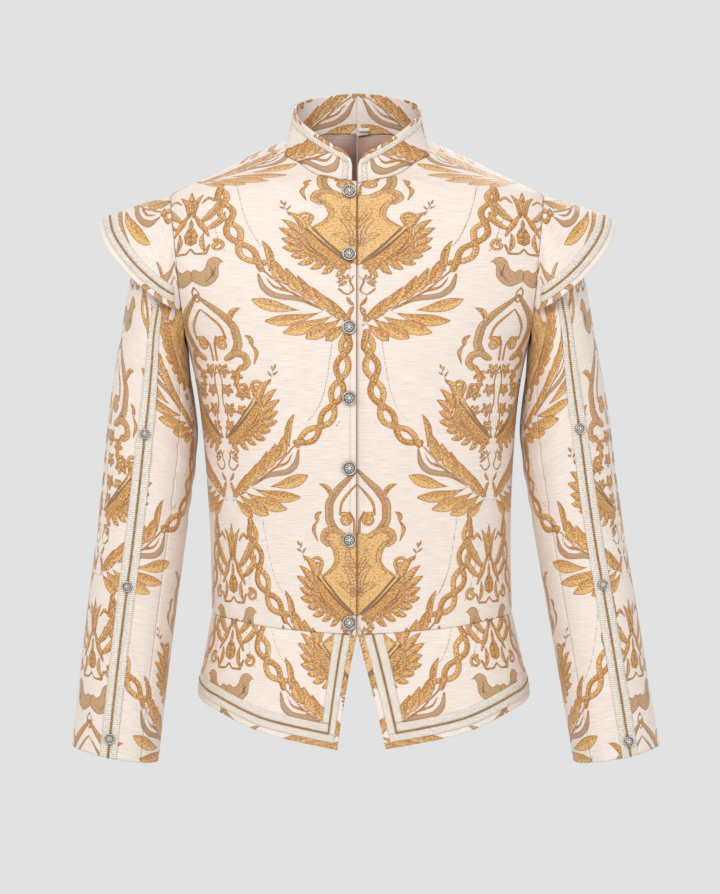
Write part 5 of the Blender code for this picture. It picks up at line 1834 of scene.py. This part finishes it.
def lining_material():
    n = Nodes("mauve_satin")
    where = n.node("ShaderNodeTexCoord").outputs["Object"]
    x, _, z = n.parts(where)
    twill = n.math("SINE", n.math("MULTIPLY", n.math("ADD", x, z), 5200.0))
    cloudy = n.noise(where, 38.0, 3.0)
    streak = n.noise(n.place(n.math("MULTIPLY", x, 900.0), n.math("MULTIPLY", z, 60.0)), 1.0, 2.0)
    colour = n.mix(n.step(cloudy, 0.3, 0.7), SATIN_DEEP, SATIN_LIGHT)
    colour = n.mix(n.step(streak, 0.5, 0.8, 0.0, 0.3), colour, SATIN_STREAK)
    n.link(colour, n.shader.inputs["Base Color"])
    n.link(n.step(cloudy, 0.2, 0.8, 0.36, 0.50), n.shader.inputs["Roughness"])
    n.link(n.bump(n.math("ADD", n.math("MULTIPLY", twill, 0.3), streak), 0.0002, 0.5),
           n.shader.inputs["Normal"])
    n.shader.inputs["Sheen Weight"].default_value = 0.2
    return n.material


def braid_material():
    n = Nodes("white_pebbled_braid")
    along_mm, across_mm, _ = n.parts(n.attribute("cloth").outputs["Vector"])
    place = n.place(along_mm, n.math("MULTIPLY", across_mm, 1.15))
    cells = n.node("ShaderNodeTexVoronoi")
    n.link(place, cells.inputs["Vector"])
    cells.inputs["Scale"].default_value = 0.78
    pebble = n.step(cells.outputs["Distance"], 0.62, 0.10)
    slant = n.math("ADD", along_mm, n.math("MULTIPLY", n.math("ABSOLUTE", across_mm), 1.0))
    plait = n.step(n.math("SINE", n.math("MULTIPLY", slant, 2.6)), -0.8, 0.6)
    height = n.math("ADD", n.math("MULTIPLY", pebble, 0.7), n.math("MULTIPLY", plait, 0.45))
    patches = n.noise(place, 0.35, 2.0)
    light = n.mix(n.step(patches, 0.35, 0.65), BRAID_LIGHT, BRAID_DEEP)
    # Painted shade: where the braid's height is low, its hollows are darkened towards a brown grey
    colour = n.mix(n.step(height, 0.38, 0.10, 0.0, 0.80), light, BRAID_HOLLOW_SHADE)
    n.link(colour, n.shader.inputs["Base Color"])
    n.shader.inputs["Roughness"].default_value = 0.55
    n.link(n.bump(height, 0.0006, 0.9), n.shader.inputs["Normal"])
    n.shader.inputs["Sheen Weight"].default_value = 0.15
    return n.material


def cord_material():
    n = Nodes("gold_chain_cord")
    where = n.node("ShaderNodeTexCoord").outputs["Object"]
    fleck = n.noise(where, 900.0, 2.0)
    colour = n.mix(n.step(fleck, 0.35, 0.65), CORD_DEEP, CORD_LIGHT)
    n.link(colour, n.shader.inputs["Base Color"])
    n.link(n.step(fleck, 0.3, 0.7, 0.55, 0.34), n.shader.inputs["Roughness"])
    n.shader.inputs["Metallic"].default_value = 0.15
    n.link(n.bump(fleck, 0.0002, 0.6), n.shader.inputs["Normal"])
    return n.material


def silver_material():
    n = Nodes("antique_silver")
    where = n.node("ShaderNodeTexCoord").outputs["Object"]
    worn = n.attribute("worn").outputs["Fac"]
    stain = n.noise(where, 420.0, 3.0)
    share = n.math("ADD", worn, n.math("MULTIPLY", n.math("SUBTRACT", stain, 0.5), 0.55))
    colour = n.mix(n.step(share, 0.12, 0.62), SILVER_STAIN, SILVER_LIGHT)
    n.link(colour, n.shader.inputs["Base Color"])
    n.link(n.step(share, 0.1, 0.8, 0.55, 0.24), n.shader.inputs["Roughness"])
    n.shader.inputs["Metallic"].default_value = 0.9
    n.link(n.bump(stain, 0.0002, 0.35), n.shader.inputs["Normal"])
    return n.material


def floor_material():
    n = Nodes("pale_floor")
    where = n.node("ShaderNodeTexCoord").outputs["Object"]
    n.link(n.mix(n.noise(where, 3.0, 2.0), FLOOR_DEEP, FLOOR_LIGHT),
           n.shader.inputs["Base Color"])
    n.shader.inputs["Roughness"].default_value = 0.85
    return n.material


# Studio

def add_light(name, place, aim, size, power, colour=(1, 1, 1)):
    light = bpy.data.lights.new(name, "AREA")
    light.shape = "DISK"
    light.size = size
    light.energy = power
    light.color = colour
    made = bpy.data.objects.new(name, light)
    bpy.context.scene.collection.objects.link(made)
    made.location = place
    made.rotation_mode = "QUATERNION"
    made.rotation_quaternion = (Vector(aim) - Vector(place)).to_track_quat("-Z", "Y")


def make_studio():
    scene = bpy.context.scene
    scene.view_settings.view_transform = "Standard"
    world = bpy.data.worlds.new("studio")
    scene.world = world
    world.use_nodes = True
    world.node_tree.nodes["Background"].inputs["Color"].default_value = (*BACKDROP, 1)
    world.node_tree.nodes["Background"].inputs["Strength"].default_value = 1.0
    floor = bmesh.new()
    bmesh.ops.create_circle(floor, cap_ends=True, segments=96, radius=FLOOR_RADIUS)
    mesh = bpy.data.meshes.new("floor")
    floor.to_mesh(mesh)
    floor.free()
    mesh.materials.append(floor_material())
    made = bpy.data.objects.new("floor", mesh)
    scene.collection.objects.link(made)
    made.location = (0, 0, FLOOR_LEVEL)
    add_light("key", (-1.5, -3.0, 1.6), (0, 0, -0.25), 1.8, 62, (1.0, 0.985, 0.96))
    add_light("fill", (2.2, -2.6, 0.4), (0, 0, -0.35), 2.2, 22)
    add_light("back", (0.4, 2.6, 1.8), (0, 0, -0.3), 1.8, 30)
    camera = bpy.data.cameras.new("camera")
    camera.sensor_fit = "VERTICAL"
    camera.sensor_height = SENSOR_HEIGHT
    camera.lens = CAMERA_DISTANCE / PHOTO_HEIGHT * SENSOR_HEIGHT
    camera.clip_start = 0.05
    made = bpy.data.objects.new("camera", camera)
    scene.collection.objects.link(made)
    made.location = (CAMERA_X, -CAMERA_DISTANCE, CAMERA_Z)
    made.rotation_euler = (math.radians(90), 0, 0)
    scene.camera = made


def main():
    make_studio()
    sheets = {}
    dress_body(sheets)
    dress_lining(sheets)
    dress_collar(sheets)
    dress_peplum(sheets)
    dress_sleeves(sheets)
    dress_wings(sheets)
    dress_buttons()
    dress_neck_loop()


BODY_TABLES = body_places()
CHARTS = [make_chart(False), make_chart(True)]
STRIPS = {}
MATERIALS = {
    "brocade": brocade_material("gold_brocade"),
    "lining": lining_material(),
    "braid": braid_material(),
    "cord": cord_material(),
    "silver": silver_material(),
}
main()
